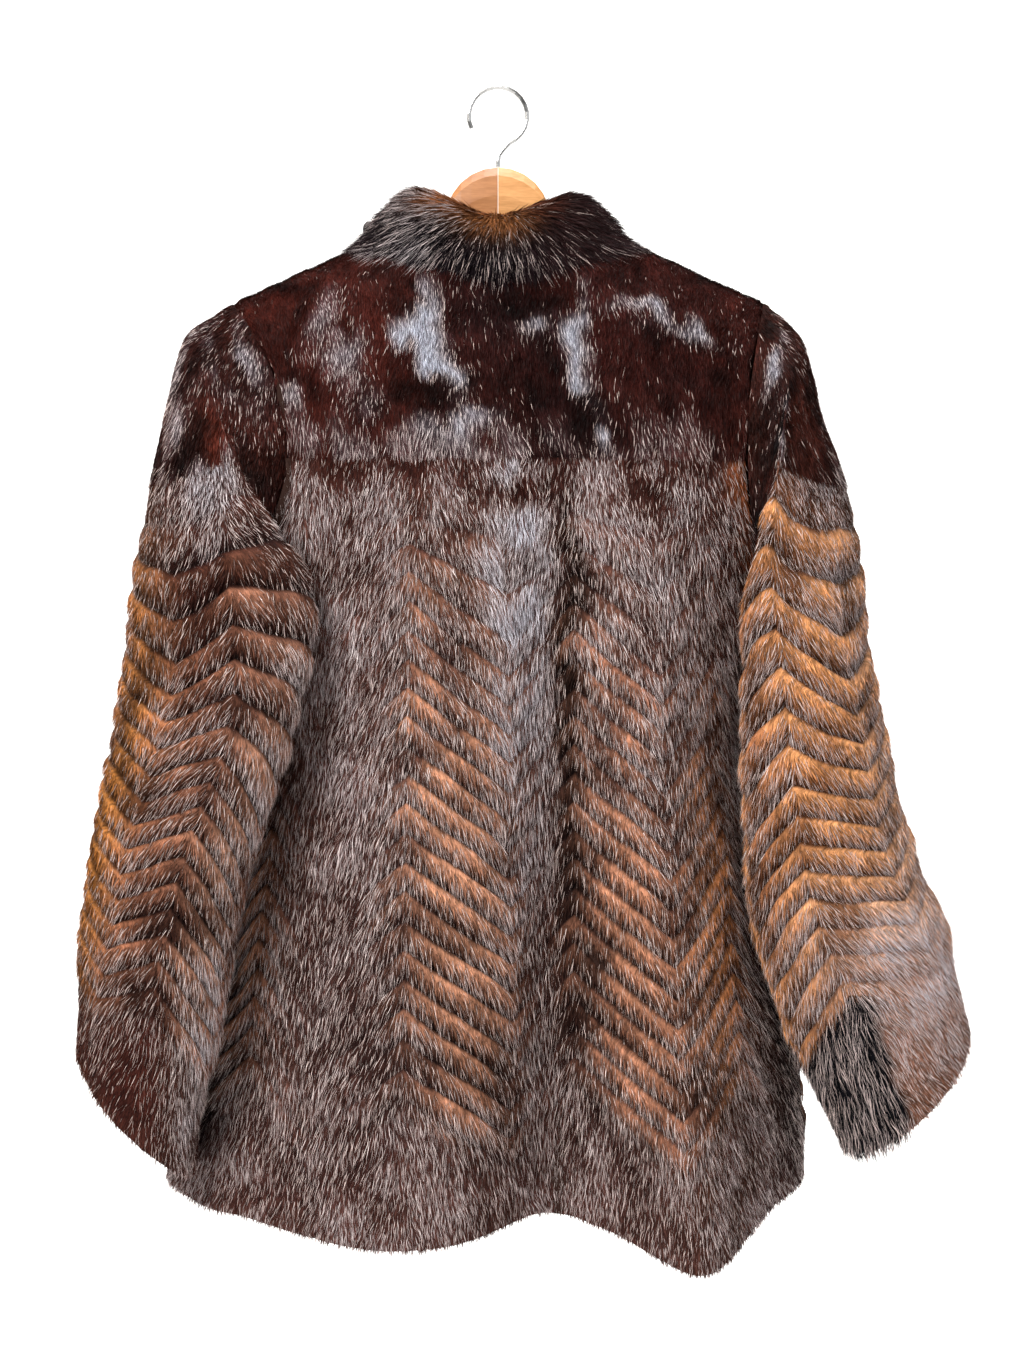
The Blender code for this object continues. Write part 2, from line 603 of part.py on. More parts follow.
def make_front(hand):
    sign = SIDES[hand]
    shares = np.linspace(0, 1, FRONT_COLUMNS * STEPS + 1)
    side_edge = edge(hand, "front", np.array([YOKE_Z]))[0][0]
    x_yoke = side_edge + (sign * front_edge_x(YOKE_Z) - side_edge) * shares
    upper, upper_normal = smooth_part("front", front_top_x(hand), x_yoke, hand, None)

    x_hem = sign * (abs(side_x(hand, HEM_Z)) + (FRONT_GAP_X - abs(side_x(hand, HEM_Z))) * shares)
    z, raised = panel_heights(shares * FRONT_COLUMNS, hem_heights("front", x_hem))
    side_edges = np.stack([soft_edge_x(hand, "front", column) for column in z.T], 1)
    angle_side = np.arcsin(np.clip(part_across(side_edges, z), -1, 1))
    angle_front = np.arcsin(np.clip(part_across(sign * front_edge_x(z), z), -1, 1))
    turn = angle_side + (angle_front - angle_side) * shares
    x = torso(z, "centre_x") + torso(z, "half_width") * np.sin(turn)
    lower, normal = settle_edges(body_point("front", x, z), "front", hand, None)
    grid = np.vstack([upper[:-1], lower])
    normal = np.vstack([upper_normal[:-1], normal])
    start = len(upper) - 1
    raised = np.vstack([np.zeros((start, len(shares))), flat_at_armhole(raised, z)])
    grid = seam_inset(grid, first=True, top=True)
    ribbed, armpit = 2 * BODY_RIBS + 1, 2 * ARMPIT_RIB
    keep = list(range(start)) + [start + r for r in kept_rows(ribbed, len(z), armpit)]
    top_part = smooth(np.arange(len(grid)) / start)[:, None, None]
    thick = np.minimum(THIN_WALL + (WALL - THIN_WALL) * top_part, thin_at_armhole(grid, True, False))
    wall(f"front_{hand}", grid, normal, raised, FUR_BROWN, keep=keep, thick=thick, upward=True)


def sleeve_rings(hand):
    sign = SIDES[hand]
    stations = np.arange(ARMHOLE_STATIONS)
    around = stations * 2 * math.pi / ARMHOLE_STATIONS
    rings = [armhole_loop(hand)]
    for ring in SLEEVES[hand]:
        turn, rise, nod = (math.radians(a) for a in (ring.turn, ring.rise, ring.nod))
        out = np.array([sign * math.cos(turn), -math.sin(turn), 0])
        rear = np.array([-sign * math.sin(turn), -math.cos(turn), 0])
        across = ring.across * (out * math.cos(rise) + np.array([0, 0, math.sin(rise)]))
        depth = ring.depth * (rear * math.cos(nod) - np.array([0, 0, math.sin(nod)]))
        centre = np.array([ring.x, ring.y, ring.z])
        loop = centre + np.cos(around)[:, None] * across + np.sin(around)[:, None] * depth
        loop[:, 0] -= sign * ring.tuck * np.exp(-(((stations - TUCK_STATION) / TUCK_WIDTH) ** 2))
        rings.append(loop)
    return np.stack(rings)


def sleeve_grid(hand, lengths, past=0):
    """Points of a sleeve at rows of lengths along its middle, one column a station.

    Also its whole length. The columns can be read some stations past their own.
    """
    rings = sleeve_rings(hand)
    middle = rings.mean(1)
    knots = np.concatenate([[0], np.cumsum(np.linalg.norm(np.diff(middle, axis=0), axis=1))])
    knots[1:] += FIRST_RING_EXTRA * smooth(np.arange(1, len(knots)) / EXTRA_RINGS)
    rings = np.roll(rings, -past, 1)
    columns = [through(knots, rings[:, i], lengths[:, i], True) for i in range(rings.shape[1])]
    return np.stack(columns, 1), knots[-1]


def sleeve_normal(hand, lengths):
    down = sleeve_grid(hand, lengths + NUDGE)[0] - sleeve_grid(hand, lengths - NUDGE)[0]
    wide = sleeve_grid(hand, lengths, 1)[0] - sleeve_grid(hand, lengths, -1)[0]
    return unit(np.cross(down, wide) * -SIDES[hand])


def cap_seam(hand, total):
    """Length along each station at which the sleeve passes the level of the cap's seam."""
    lengths = np.linspace(0, total, SEAM_SAMPLES)[:, None] * np.ones(ARMHOLE_STATIONS)
    heights = sleeve_grid(hand, lengths)[0][..., 2]
    crossing = np.array([lengths[np.argmax(column < CAP_Z), 0] for column in heights.T])
    seam = np.maximum(crossing, CAP_UNDERARM)
    for _ in range(CAP_SOFTEN):
        seam = (np.roll(seam, 1) + 2 * seam + np.roll(seam, -1)) / 4
    return seam


def seam_shift(hand, seam):
    """Change of each station's length that moves the cap's edge squarely by half a seam."""
    points = sleeve_grid(hand, seam[None])[0][0]
    down = (sleeve_grid(hand, seam[None] + NUDGE)[0][0] - points) / NUDGE
    ways = [unit(np.roll(points, -way, 0) - points) for way in (1, -1)]
    square = [np.linalg.norm(np.cross(down, way), axis=1) for way in ways]
    return HALF_SEAM / np.maximum(np.minimum(*square), LEAST_SHEAR)


def make_sleeve(hand):
    stations = np.arange(ARMHOLE_STATIONS)
    total = sleeve_grid(hand, np.zeros((2, ARMHOLE_STATIONS)))[1]
    seam = cap_seam(hand, total)
    half_seam = seam_shift(hand, seam)
    cap = np.linspace(0, 1, CAP_ROWS + 1)[:, None] * seam
    cap[0] += ARMHOLE_GAP
    cap[-1] -= half_seam
    grid, _ = sleeve_grid(hand, cap)
    normal = sleeve_normal(hand, cap)
    normal[0] = armhole_normals(hand)
    plain = np.zeros(grid.shape[:2])
    wall(f"sleeve_cap_{hand}", grid, normal, plain, FUR_DARK, closed=True, thick=THIN_WALL)

    ribs = SLEEVE_RIBS[hand]
    rows = rib_rows(ribs)
    pitch = (total - seam.max() - HALF_SEAM - SLEEVE_RIB_DROP - CUFF_BAND) / ribs
    falls = np.interp(stations, *zip(*SLEEVE_LINES[hand]), period=ARMHOLE_STATIONS)
    start = smooth(rows / RIBS_TO_FULL)[:, None]
    even = np.clip(rows / CAP_RIBS, 0, 1)[:, None]
    length = seam.max() - (seam.max() - seam - half_seam) * (1 - even)
    length = length + rows[:, None] * pitch + SLEEVE_RIB_DROP * start * falls
    last = length[-1]
    band = [last + (total - last) * part for part in BAND_ROWS]
    length = np.vstack([length, band])
    grid, _ = sleeve_grid(hand, length)
    wide = np.linalg.norm(np.gradient(grid, axis=0), axis=-1)[: len(rows)] * 2
    ridges = (np.arange(len(rows)) % 2)[:, None]
    raised = RIB_HEIGHT * start * ridges * np.clip(wide / pitch, 0, 1)
    raised = np.vstack([raised, np.zeros((len(BAND_ROWS), ARMHOLE_STATIONS))])
    colour = FUR_GOLD if hand == "right" else FUR_BROWN
    keep = kept_rows(len(rows), len(grid))
    normal = sleeve_normal(hand, length)
    below = smooth((length - seam.max()) / THIN_LENGTH)[..., None]
    thick = THIN_WALL + (WALL - THIN_WALL) * below
    wall(f"sleeve_{hand}", grid, normal, raised, colour, closed=True, keep=keep, thick=thick)


def neck_edge():
    """Corners of the neck edge from the left front round the back to the right front."""
    fronts = {hand: front_top_x(hand)[: -FRONT_NECK_STEPS - 1 : -1] for hand in SIDES}
    yoke = yoke_top_x()
    yoke = yoke[np.abs(yoke) < NECK_X + NUDGE]
    runs = (("front", fronts["left"]), ("back", yoke), ("front", fronts["right"][::-1]))
    points = [body_point(side, x, shoulder_z(x) - neck_drop(x)) for side, x in runs]
    return np.vstack(points)


def collar_frame(at):
    """Base, rim, level direction inwards and bulge of the collar at these places round it."""
    columns = [row.at for row in COLLAR_RIM]
    rim = through(columns, [(row.x, row.y, row.z) for row in COLLAR_RIM], at)
    bulge = through(columns, [row.bulge for row in COLLAR_RIM], at)
    corners = neck_edge()
    places = np.concatenate([[0], np.cumsum(np.linalg.norm(np.diff(corners, axis=0), axis=1))])
    places = 2 * places / places[-1] - 1
    base = np.stack([np.interp(at, places, corners[:, i]) for i in range(3)], 1)
    base[:, 2] += SEAM
    along = np.gradient(through(places, corners, at) + rim, axis=0)
    inwards = unit(np.stack([-along[:, 1], along[:, 0], np.zeros(len(at))], 1))
    return base, rim, inwards, bulge[:, None]


def collar_points(at, part_in, part_up):
    base, rim, inwards, bulge = collar_frame(at)
    deep = COLLAR_THICK * part_in - bulge * math.sin(math.pi * part_up)
    return base + (rim - base) * part_up + inwards * deep


def make_collar():
    at = np.linspace(-1, 1, COLLAR_STEPS + 1)
    bm = bmesh.new()
    rows = [[bm.verts.new(p) for p in collar_points(at, *parts)] for parts in COLLAR_PROFILE]
    count = len(rows)
    for r in range(count):
        here, after = rows[r], rows[(r + 1) % count]
        for c in range(len(at) - 1):
            bm.faces.new((here[c], here[c + 1], after[c + 1], after[c]))
    for c in (0, -1):
        bm.faces.new([row[c] for row in rows])
    return finish(bm, "collar", FUR_BLACK, 0.7)


def make_button():
    """A flat round button that touches the collar but for a seam's gap."""
    at = np.linspace(-1, 1, COLLAR_STEPS + 1)
    column = int(np.argmin(np.abs(at - BUTTON_AT)))
    points = collar_points(at, 0.0, BUTTON_UP)
    outwards = -collar_frame(at)[2][column]
    centre = points[column] + outwards * (BUTTON_HALF + 2 * SEAM)
    bm = bmesh.new()
    bmesh.ops.create_uvsphere(bm, u_segments=BUTTON_SEGMENTS, v_segments=BUTTON_SEGMENTS // 2, radius=1)
    lean = math.atan2(outwards[1], outwards[0])
    flat = Matrix.Diagonal((BUTTON_HALF, BUTTON_RADIUS, BUTTON_RADIUS, 1))
    place = Matrix.Translation(centre) @ Matrix.Rotation(lean, 4, "Z") @ flat
    bmesh.ops.transform(bm, matrix=place, verts=bm.verts)
    return finish(bm, "collar_button", FUR_BLACK, 0.6)


def hanger_section(x):
    """Top, bottom and half thickness of the hanger at this distance from its middle."""
    part = x / ARM_END_X
    line = shoulder_z(x) - ARM_TOP_DROP
    height = ARM_HEIGHT_MIDDLE + (ARM_HEIGHT_END - ARM_HEIGHT_MIDDLE) * smooth(part)
    head = HEAD_Z + math.sqrt(max(HEAD_RADIUS**2 - x * x, 0))
    top = max(line, head) if x < HEAD_RADIUS else line
    half = ARM_HALF_MIDDLE + (ARM_HALF_END - ARM_HALF_MIDDLE) * smooth(part)
    return top, line - height, half


def make_hanger(hand):
    sign = SIDES[hand]
    inside = HEAD_RADIUS * np.sin(np.linspace(0, math.pi / 2, HEAD_SECTIONS + 1))
    outside = np.linspace(HEAD_RADIUS, ARM_END_X, HANGER_SECTIONS - HEAD_SECTIONS)[1:]
    places = [HALF_SEAM, *inside[1:], *outside]
    bm = bmesh.new()
    rows = []
    for x in places:
        top, bottom, half = hanger_section(x)
        ring = []
        for k in range(HANGER_SIDES):
            turn = 2 * math.pi * (k + 0.5) / HANGER_SIDES
            y = half * math.copysign(abs(math.sin(turn)) ** HANGER_SQUARE, math.sin(turn))
            lift = math.copysign(abs(math.cos(turn)) ** HANGER_SQUARE, math.cos(turn))
            z = (top + bottom) / 2 + (top - bottom) / 2 * lift
            ring.append(bm.verts.new((sign * x, y, z)))
        rows.append(ring)
    for here, after in zip(rows, rows[1:]):
        for k in range(HANGER_SIDES):
            j = (k + 1) % HANGER_SIDES
            bm.faces.new((here[k], here[j], after[j], after[k]))
    bm.faces.new(rows[0])
    bm.faces.new(rows[-1])
    return finish(bm, f"hanger_{hand}", BEECH, 0.4)


def make_hook():
    """Wire from the head's top, round the rail and down to a short tip."""
    centre_z = -HOOK_RADIUS
    bend = HOOK_RADIUS + HOOK_WIRE
    stem_z = HEAD_Z + HEAD_RADIUS + SEAM
    start = math.radians(HOOK_START)
    turns = np.radians(np.linspace(HOOK_START, HOOK_END, HOOK_STEPS + 1))
    foot = np.array([bend * math.cos(start), centre_z + bend * math.sin(start)])
    straight_z = stem_z + HOOK_FOOT
    points = [(0, 0, stem_z), (0, 0, straight_z)]
    for part in HOOK_SWAY:
        points.append((foot[0] * smooth(part) * part, 0, straight_z + (foot[1] - straight_z) * part))
    points += [(bend * math.cos(turn), 0, centre_z + bend * math.sin(turn)) for turn in turns]
    curve = bpy.data.curves.new("hanger_hook", "CURVE")
    curve.dimensions = "3D"
    curve.bevel_depth = HOOK_WIRE
    curve.bevel_resolution = 2
    curve.use_fill_caps = True
    spline = curve.splines.new("POLY")
    spline.points.add(len(points) - 1)
    for point, place in zip(spline.points, points):
        point.co = (*place, 1)
    return add_object("hanger_hook", curve, STEEL, 0.25, 1.0)


jacket = bpy.data.collections.new("fur_jacket_on_hanger")
bpy.context.scene.collection.children.link(jacket)
make_back()
for hand in SIDES:
    make_front(hand)
    make_sleeve(hand)
    make_hanger(hand)
make_collar()
make_button()
make_hook()
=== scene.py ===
import math
from collections import namedtuple
import bmesh
import bpy
import numpy as np
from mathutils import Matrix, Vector, noise


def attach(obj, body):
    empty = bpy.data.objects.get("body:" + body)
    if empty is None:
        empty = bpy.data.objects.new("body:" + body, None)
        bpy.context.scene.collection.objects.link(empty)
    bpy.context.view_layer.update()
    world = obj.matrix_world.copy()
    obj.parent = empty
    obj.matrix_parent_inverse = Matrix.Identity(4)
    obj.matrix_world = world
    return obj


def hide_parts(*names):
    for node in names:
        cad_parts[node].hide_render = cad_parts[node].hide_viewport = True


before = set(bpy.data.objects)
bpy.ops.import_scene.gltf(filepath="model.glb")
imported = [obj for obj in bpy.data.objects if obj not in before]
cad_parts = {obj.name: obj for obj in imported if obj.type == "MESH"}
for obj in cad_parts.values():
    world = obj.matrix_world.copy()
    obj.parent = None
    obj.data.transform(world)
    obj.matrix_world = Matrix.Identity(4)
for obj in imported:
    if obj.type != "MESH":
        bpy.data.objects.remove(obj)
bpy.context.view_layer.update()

print("frame loaded")


# small helpers

def hexColour(code):
    parts = [int(code[i:i + 2], 16) / 255 for i in (0, 2, 4)]
    return tuple(p / 12.92 if p <= 0.04045 else ((p + 0.055) / 1.055) ** 2.4 for p in parts)


def smooth(t):
    t = np.clip(t, 0.0, 1.0)
    return t * t * (3 - 2 * t)


def share(t, low, high):
    # 0 at low, 1 at high
    return np.clip((t - low) / (high - low), 0, 1)


def unit(v):
    return v / np.maximum(np.linalg.norm(v, axis=-1, keepdims=True), 1e-12)


def runLength(points):
    # length along rows of points, from the first row
    steps = np.linalg.norm(np.diff(points, axis=0), axis=-1)
    return np.concatenate([np.zeros_like(steps[:1]), np.cumsum(steps, 0)])


def steadySlopes(values, knots):
    # slopes for a cubic that never swings past its values
    steps = np.diff(values, axis=0) / np.diff(knots).reshape((-1,) + (1,) * (values.ndim - 1))
    before, after = steps[:-1], steps[1:]
    same = before * after > 0
    inside = np.where(same, 2 * before * after / np.where(same, before + after, 1), 0)
    return np.concatenate([steps[:1], inside, steps[-1:]])


def through(knots, values, at, steady=False):
    # cubic through values at rising knots
    knots, values = np.asarray(knots, float), np.asarray(values, float)
    slopes = steadySlopes(values, knots) if steady else np.gradient(values, knots, axis=0)
    at = np.clip(at, knots[0], knots[-1])
    i = np.clip(np.searchsorted(knots, at, side="right") - 1, 0, len(knots) - 2)
    wide = knots[i + 1] - knots[i]
    t = (at - knots[i]) / wide
    if values.ndim > 1 and np.ndim(t):
        shape = t.shape + (1,) * (values.ndim - 1)
        t, wide = t.reshape(shape), wide.reshape(shape)
    start = (2 * t**3 - 3 * t**2 + 1) * values[i] + (t**3 - 2 * t**2 + t) * wide * slopes[i]
    end = (3 * t**2 - 2 * t**3) * values[i + 1] + (t**3 - t**2) * wide * slopes[i + 1]
    return start + end


def setSockets(node, **inputs):
    # sockets by name, with _ for a space, or by number as i0; a socket given as the value is linked
    for name, value in inputs.items():
        key = int(name[1:]) if name[0] == "i" and name[1:].isdigit() else name.replace("_", " ")
        if isinstance(value, bpy.types.NodeSocket):
            node.id_data.links.new(value, node.inputs[key])
        else:
            node.inputs[key].default_value = value
    return node


def addNode(tree, kind, settings=None, **inputs):
    node = tree.nodes.new(kind)
    for name, value in (settings or {}).items():
        setattr(node, name, value)
    return setSockets(node, **inputs)


def addObject(name, data):
    piece = bpy.data.objects.new(name, data)
    bpy.context.scene.collection.objects.link(piece)
    return piece


def addPiece(name, bm):
    mesh = bpy.data.meshes.new(name)
    bm.to_mesh(mesh)
    bm.free()
    return addObject(name, mesh)


# the jacket's surface, from the same sizes as the solids

body = dict(
    yokeZ=-0.280, hemZ=-0.832, hemRise=0.016,  # the hem rises at the side seams
    shoulderX=0.198, neckX=0.110, neckZ=-0.1195, shoulderSlope=0.45, shoulderRound=0.070, neckDip=0.0135,
    ribPitch=0.0205, ribDrop=0.054, ribs=22, ribsToFull=5, armpitRib=3,  # full drop after ribsToFull ribs
    bandRows=2.5, yokeRows=8,  # the plain band above the hem and the smooth yoke count as this many ribs
    frontColumns=4, frontTopX=0.085, frontGapX=0.0030, openTopZ=-0.130, openEndZ=-0.430,
    armholeInset={"left": 0.042, "right": 0.018}, stations=18, edgeSoft=0.030, seam=0.0003,
)
sides = {"left": -1, "right": 1}
armpitRamp = body["armpitRib"] / body["ribsToFull"]
armpitZ = (body["yokeZ"] - body["seam"] / 2 - body["armpitRib"] * body["ribPitch"]
           - body["ribDrop"] * armpitRamp**2 * (3 - 2 * armpitRamp))

Section = namedtuple("Section", "z centreX centreY halfWidth back front")
torsoSections = (
    Section(-0.100, 0.000, 0.000, 0.300, 0.062, 0.056),
    Section(-0.200, 0.003, 0.000, 0.262, 0.068, 0.060),
    Section(-0.280, 0.005, 0.000, 0.232, 0.072, 0.066),
    Section(-0.385, 0.005, 0.006, 0.190, 0.082, 0.072),
    Section(-0.440, 0.006, 0.012, 0.179, 0.088, 0.074),
    Section(-0.600, -0.0020, 0.028, 0.1920, 0.106, 0.074),
    Section(-0.750, -0.0015, 0.042, 0.2315, 0.128, 0.078),
    Section(-0.795, -0.008, 0.044, 0.242, 0.132, 0.079),
    Section(-0.840, -0.0105, 0.044, 0.247, 0.134, 0.080),
)
Fold = namedtuple("Fold", "side xYoke xHem width depthYoke depthHem hemDrop")
foldList = (
    Fold("back", -0.055, -0.082, 0.078, 0.006, 0.032, 0.0050),
    Fold("back", 0.057, 0.036, 0.038, -0.012, -0.046, -0.0060),
    Fold("back", 0.100, 0.149, 0.047, 0.008, 0.092, 0.0240),
    Fold("back", -0.150, -0.215, 0.018, 0.000, 0.012, 0.0020),
    Fold("front", 0.090, 0.125, 0.040, 0.004, 0.030, 0.0050),
    Fold("front", -0.080, -0.110, 0.045, 0.004, 0.034, 0.0050),
    Fold("front", -0.130, -0.190, 0.022, 0.000, -0.014, -0.0020),
    Fold("front", 0.140, 0.195, 0.020, 0.000, -0.010, -0.0020),
)
# chevron lines of the back, from the left side seam to the right one
Line = namedtuple("Line", "xShoulder xYoke xHem")
backLines = (
    Line(-0.198, None, None),
    Line(-0.165, -0.141, -0.190),
    Line(-0.110, -0.112, -0.138),
    Line(-0.060, -0.0615, -0.067),
    Line(0.000, 0.006, 0.010),
    Line(0.055, 0.055, 0.056),
    Line(0.110, 0.108, 0.132),
    Line(0.165, 0.150, 0.178),
    Line(0.198, None, None),
)


def torso(z, column):
    rows = torsoSections[::-1]
    return through([row.z for row in rows], [getattr(row, column) for row in rows], z)


def shoulderZ(x):
    # the line of the shoulders
    return body["neckZ"] - body["shoulderSlope"] * (np.abs(x) - body["neckX"])


def neckDrop(x):
    # how far the neck's edge lies under it
    near = 1 - np.minimum(np.abs(x) / body["neckX"], 1)
    return body["shoulderRound"] * near + body["neckDip"] * near * (2 - near)


def partAcross(x, z):
    # -1 and 1 at the side seams
    return (x - torso(z, "centreX")) / torso(z, "halfWidth")


def folds(side, x, z):
    # how far the folds stand out: they deepen towards the hem and end at the side seams
    down = share(z, body["yokeZ"], body["hemZ"])
    start = smooth((z - body["neckZ"]) / (body["yokeZ"] - body["neckZ"]))
    out = np.zeros_like(x)
    for fold in foldList:
        if fold.side == side:
            middle = fold.xYoke + (fold.xHem - fold.xYoke) * down
            depth = fold.depthYoke + (fold.depthHem - fold.depthYoke) * down**1.2
            out += start * depth * np.exp(-(((x - middle) / fold.width) ** 2))
    return out * (1 - np.clip(partAcross(x, z), -1, 1) ** 4)


def bodyPoint(side, x, z):
    x, z = np.broadcast_arrays(np.asarray(x, float), np.asarray(z, float))
    across = np.clip(partAcross(x, z), -1, 1)
    level = 1 - np.clip((shoulderZ(x) - z) / body["shoulderRound"], 0, 1)
    depth = torso(z, side) * np.sqrt(1 - across**2) + folds(side, x, z)
    y = torso(z, "centreY") * (1 - level) + (-1 if side == "back" else 1) * np.sqrt(1 - level**2) * depth
    return np.stack([x, y, z], -1)


def sideX(hand, z):
    return torso(z, "centreX") + sides[hand] * torso(z, "halfWidth")


def armholeLoop(hand):
    # from the armhole's top down the back, under the arm and up the front
    sign = sides[hand]
    top = shoulderZ(sign * body["shoulderX"])
    part = (np.arange(0, body["yokeRows"] + 1, 2) / body["yokeRows"]) ** 2
    ribs = np.arange(2, 2 * body["armpitRib"] + 1) / 2  # by half ribs down to the armpit
    lower = (body["yokeZ"] - body["seam"] / 2 - ribs * body["ribPitch"]
             - body["ribDrop"] * smooth(ribs / body["ribsToFull"]))
    levels = np.concatenate([top + (body["yokeZ"] - top) * part, lower])
    z = np.concatenate([levels, levels[-2:0:-1]])
    down = (top - z) / (top - armpitZ)
    x = sign * body["shoulderX"] + (sideX(hand, armpitZ) - sign * body["shoulderX"]) * down
    x = x - sign * body["armholeInset"][hand] * 4 * down * (1 - down)
    fromBack = (np.arange(len(z)) < len(levels))[:, None]
    return np.where(fromBack, bodyPoint("back", x, z), bodyPoint("front", x, z))


def edge(hand, side, z):
    # x and y of the armhole's edge, or of the side seam below the armpit
    loop = armholeLoop(hand)
    half = body["stations"] // 2
    run = loop[:half + 1] if side == "back" else np.vstack([loop[:1], loop[:half - 1:-1]])
    run = run[::-1]
    below = z < armpitZ
    x = np.where(below, sideX(hand, z), np.interp(z, run[:, 2], run[:, 0]))
    return x, np.where(below, torso(z, "centreY"), np.interp(z, run[:, 2], run[:, 1]))


def softEdgeX(hand, side, z):
    # the armhole's edge without its corner at the armpit
    near = np.array((-1, -0.5, 0, 0.5, 1)) * body["edgeSoft"]
    return np.mean([edge(hand, side, z + step)[0] for step in near], axis=0)


def frontEdgeX(z):
    # the fronts part above openEndZ
    openPart = share(z, body["openEndZ"], body["openTopZ"])
    return body["frontGapX"] + (body["frontTopX"] - body["frontGapX"]) * openPart**1.3


def chevron(columns):
    # 0 on a ridge line of the chevrons, 1 on a valley line
    return np.abs(1 - np.mod(columns, 2))


def hemHeights(side, x):
    # the hem rises at the side seams, and drops where a fold comes out
    across = np.abs(partAcross(x, body["hemZ"]))
    near = [fold for fold in foldList if fold.side == side]
    drop = sum(fold.hemDrop * np.exp(-(((x - fold.xHem) / fold.width) ** 2)) for fold in near)
    return body["hemZ"] + body["hemRise"] * across**3 - (1 - across**4) * drop


def ribbedHeights(columns, hem, rows):
    # heights at rows counted in ribs, with the plain band above the hem after the last rib
    ribs = body["ribs"]
    fall = body["ribDrop"] * smooth(rows[:, None] / body["ribsToFull"]) * chevron(columns)[None]
    z = body["yokeZ"] - body["seam"] / 2 - np.minimum(rows, ribs)[:, None] * body["ribPitch"] - fall
    past = share(rows, ribs, ribs + body["bandRows"])[:, None]
    return z + (hem[None] - z) * past


def spread(values, steps):
    # the same run of values with more places between them
    at = np.arange(len(values))
    return through(at, values, np.linspace(0, len(values) - 1, (len(values) - 1) * steps + 1))


def upperPart(side, xTop, xYoke, first, last, rows):
    # the smooth part above the yoke's seam, whose outer columns follow the armholes
    along = np.linspace(0, 1, rows + 1)
    x = xTop[None] + (xYoke - xTop)[None] * along[:, None]
    for column, hand in ((0, first), (-1, last)):
        if hand:
            top = shoulderZ(sides[hand] * body["shoulderX"])
            z = top + (body["yokeZ"] - top) * along**2
            x[:, column] = edge(hand, side, z)[0]
    top = shoulderZ(x) - neckDrop(xTop)[None] * (1 - along[:, None] ** 2)
    z = top[:1] + (body["yokeZ"] - top[:1]) * along[:, None] ** 2
    return settle(bodyPoint(side, x, z), side, first, last)


def settle(grid, side, first, last):
    # puts the outer columns on the armholes and side seams
    for column, hand in ((0, first), (-1, last)):
        if hand:
            z = grid[:, column, 2]
            grid[:, column, 0], grid[:, column, 1] = edge(hand, side, z)
    return grid


def backX(z):
    # x of every column of the back, from the lines of its chevrons
    lines = []
    for i, line in enumerate(backLines):
        column = int(round(i * (z.shape[1] - 1) / (len(backLines) - 1)))
        if line.xYoke is None:
            lines.append(softEdgeX("left" if i == 0 else "right", "back", z[:, column]))
        else:
            down = share(z[:, column], body["yokeZ"], body["hemZ"])
            lines.append(line.xYoke + (line.xHem - line.xYoke) * down)
    columns = np.linspace(0, len(backLines) - 1, z.shape[1])
    rows = np.stack(lines, 1)
    return np.stack([through(np.arange(len(backLines)), row, columns) for row in rows])


# sleeves: rings from below the armhole to the cuff. Each turns round Z, its outer side rises and its rear side
# nods by so many degrees, and it is tucked in behind
Ring = namedtuple("Ring", "x y z across depth turn rise nod tuck")
sleeveRings = {
    "left": (
        Ring(-0.2120, -0.002, -0.2860, 0.1020, 0.078, 12, 78, 2, 0.018),
        Ring(-0.2190, -0.007, -0.3180, 0.0840, 0.081, 17, 72, 5, 0.037),
        Ring(-0.2170, -0.018, -0.3600, 0.0600, 0.081, 27, 53, 8, 0.042),
        Ring(-0.2145, -0.034, -0.4350, 0.0460, 0.083, 38, 28, 8, 0.014),
        Ring(-0.2425, -0.030, -0.5800, 0.0470, 0.078, 33, 18, 8, 0.0),
        Ring(-0.2605, -0.028, -0.7000, 0.0480, 0.076, 27, 24, 14, 0.0),
        Ring(-0.2650, -0.026, -0.7560, 0.0530, 0.068, 23, 36, 22, 0.0),
    ),
    "right": (
        Ring(0.2140, -0.002, -0.2880, 0.0990, 0.076, 12, 82, 2, 0.0),
        Ring(0.2160, -0.008, -0.3200, 0.0820, 0.078, 18, 74, 5, 0.0),
        Ring(0.2235, -0.016, -0.3600, 0.0580, 0.074, 28, 59, 8, 0.0),
        Ring(0.2265, -0.026, -0.4350, 0.0430, 0.074, 26, 26, 8, 0.0),
        Ring(0.2430, -0.024, -0.5700, 0.0540, 0.080, 26, 15, 10, 0.0),
        Ring(0.2740, -0.018, -0.6650, 0.0620, 0.080, 20, 22, 16, 0.0),
        Ring(0.3010, -0.014, -0.7370, 0.0590, 0.078, 12, 35, 20, 0.0),
    ),
}
sleeve = dict(
    ribs={"left": 18, "right": 16}, ribDrop=0.040, tuckStation=5.2, tuckWidth=1.8,
    # chevron lines: station, and the ribs' fall there as part of their drop
    lines={"left": ((1, 0.7), (3, 0.0), (6, 1.0), (9, 0.0), (12, 1.0), (15, 0.0)),
           "right": ((1, 0.7), (4, 0.0), (7, 1.0), (10, 0.0), (13, 1.0), (16, 0.0))},
    cuffBand=0.050, firstRingExtra=0.030, columns=4,  # columns to a station
    capZ=-0.293, capUnderarm=0.012, capRibs=8, capSoften=2, capRows=6,  # the smooth cap counts as capRows ribs
)


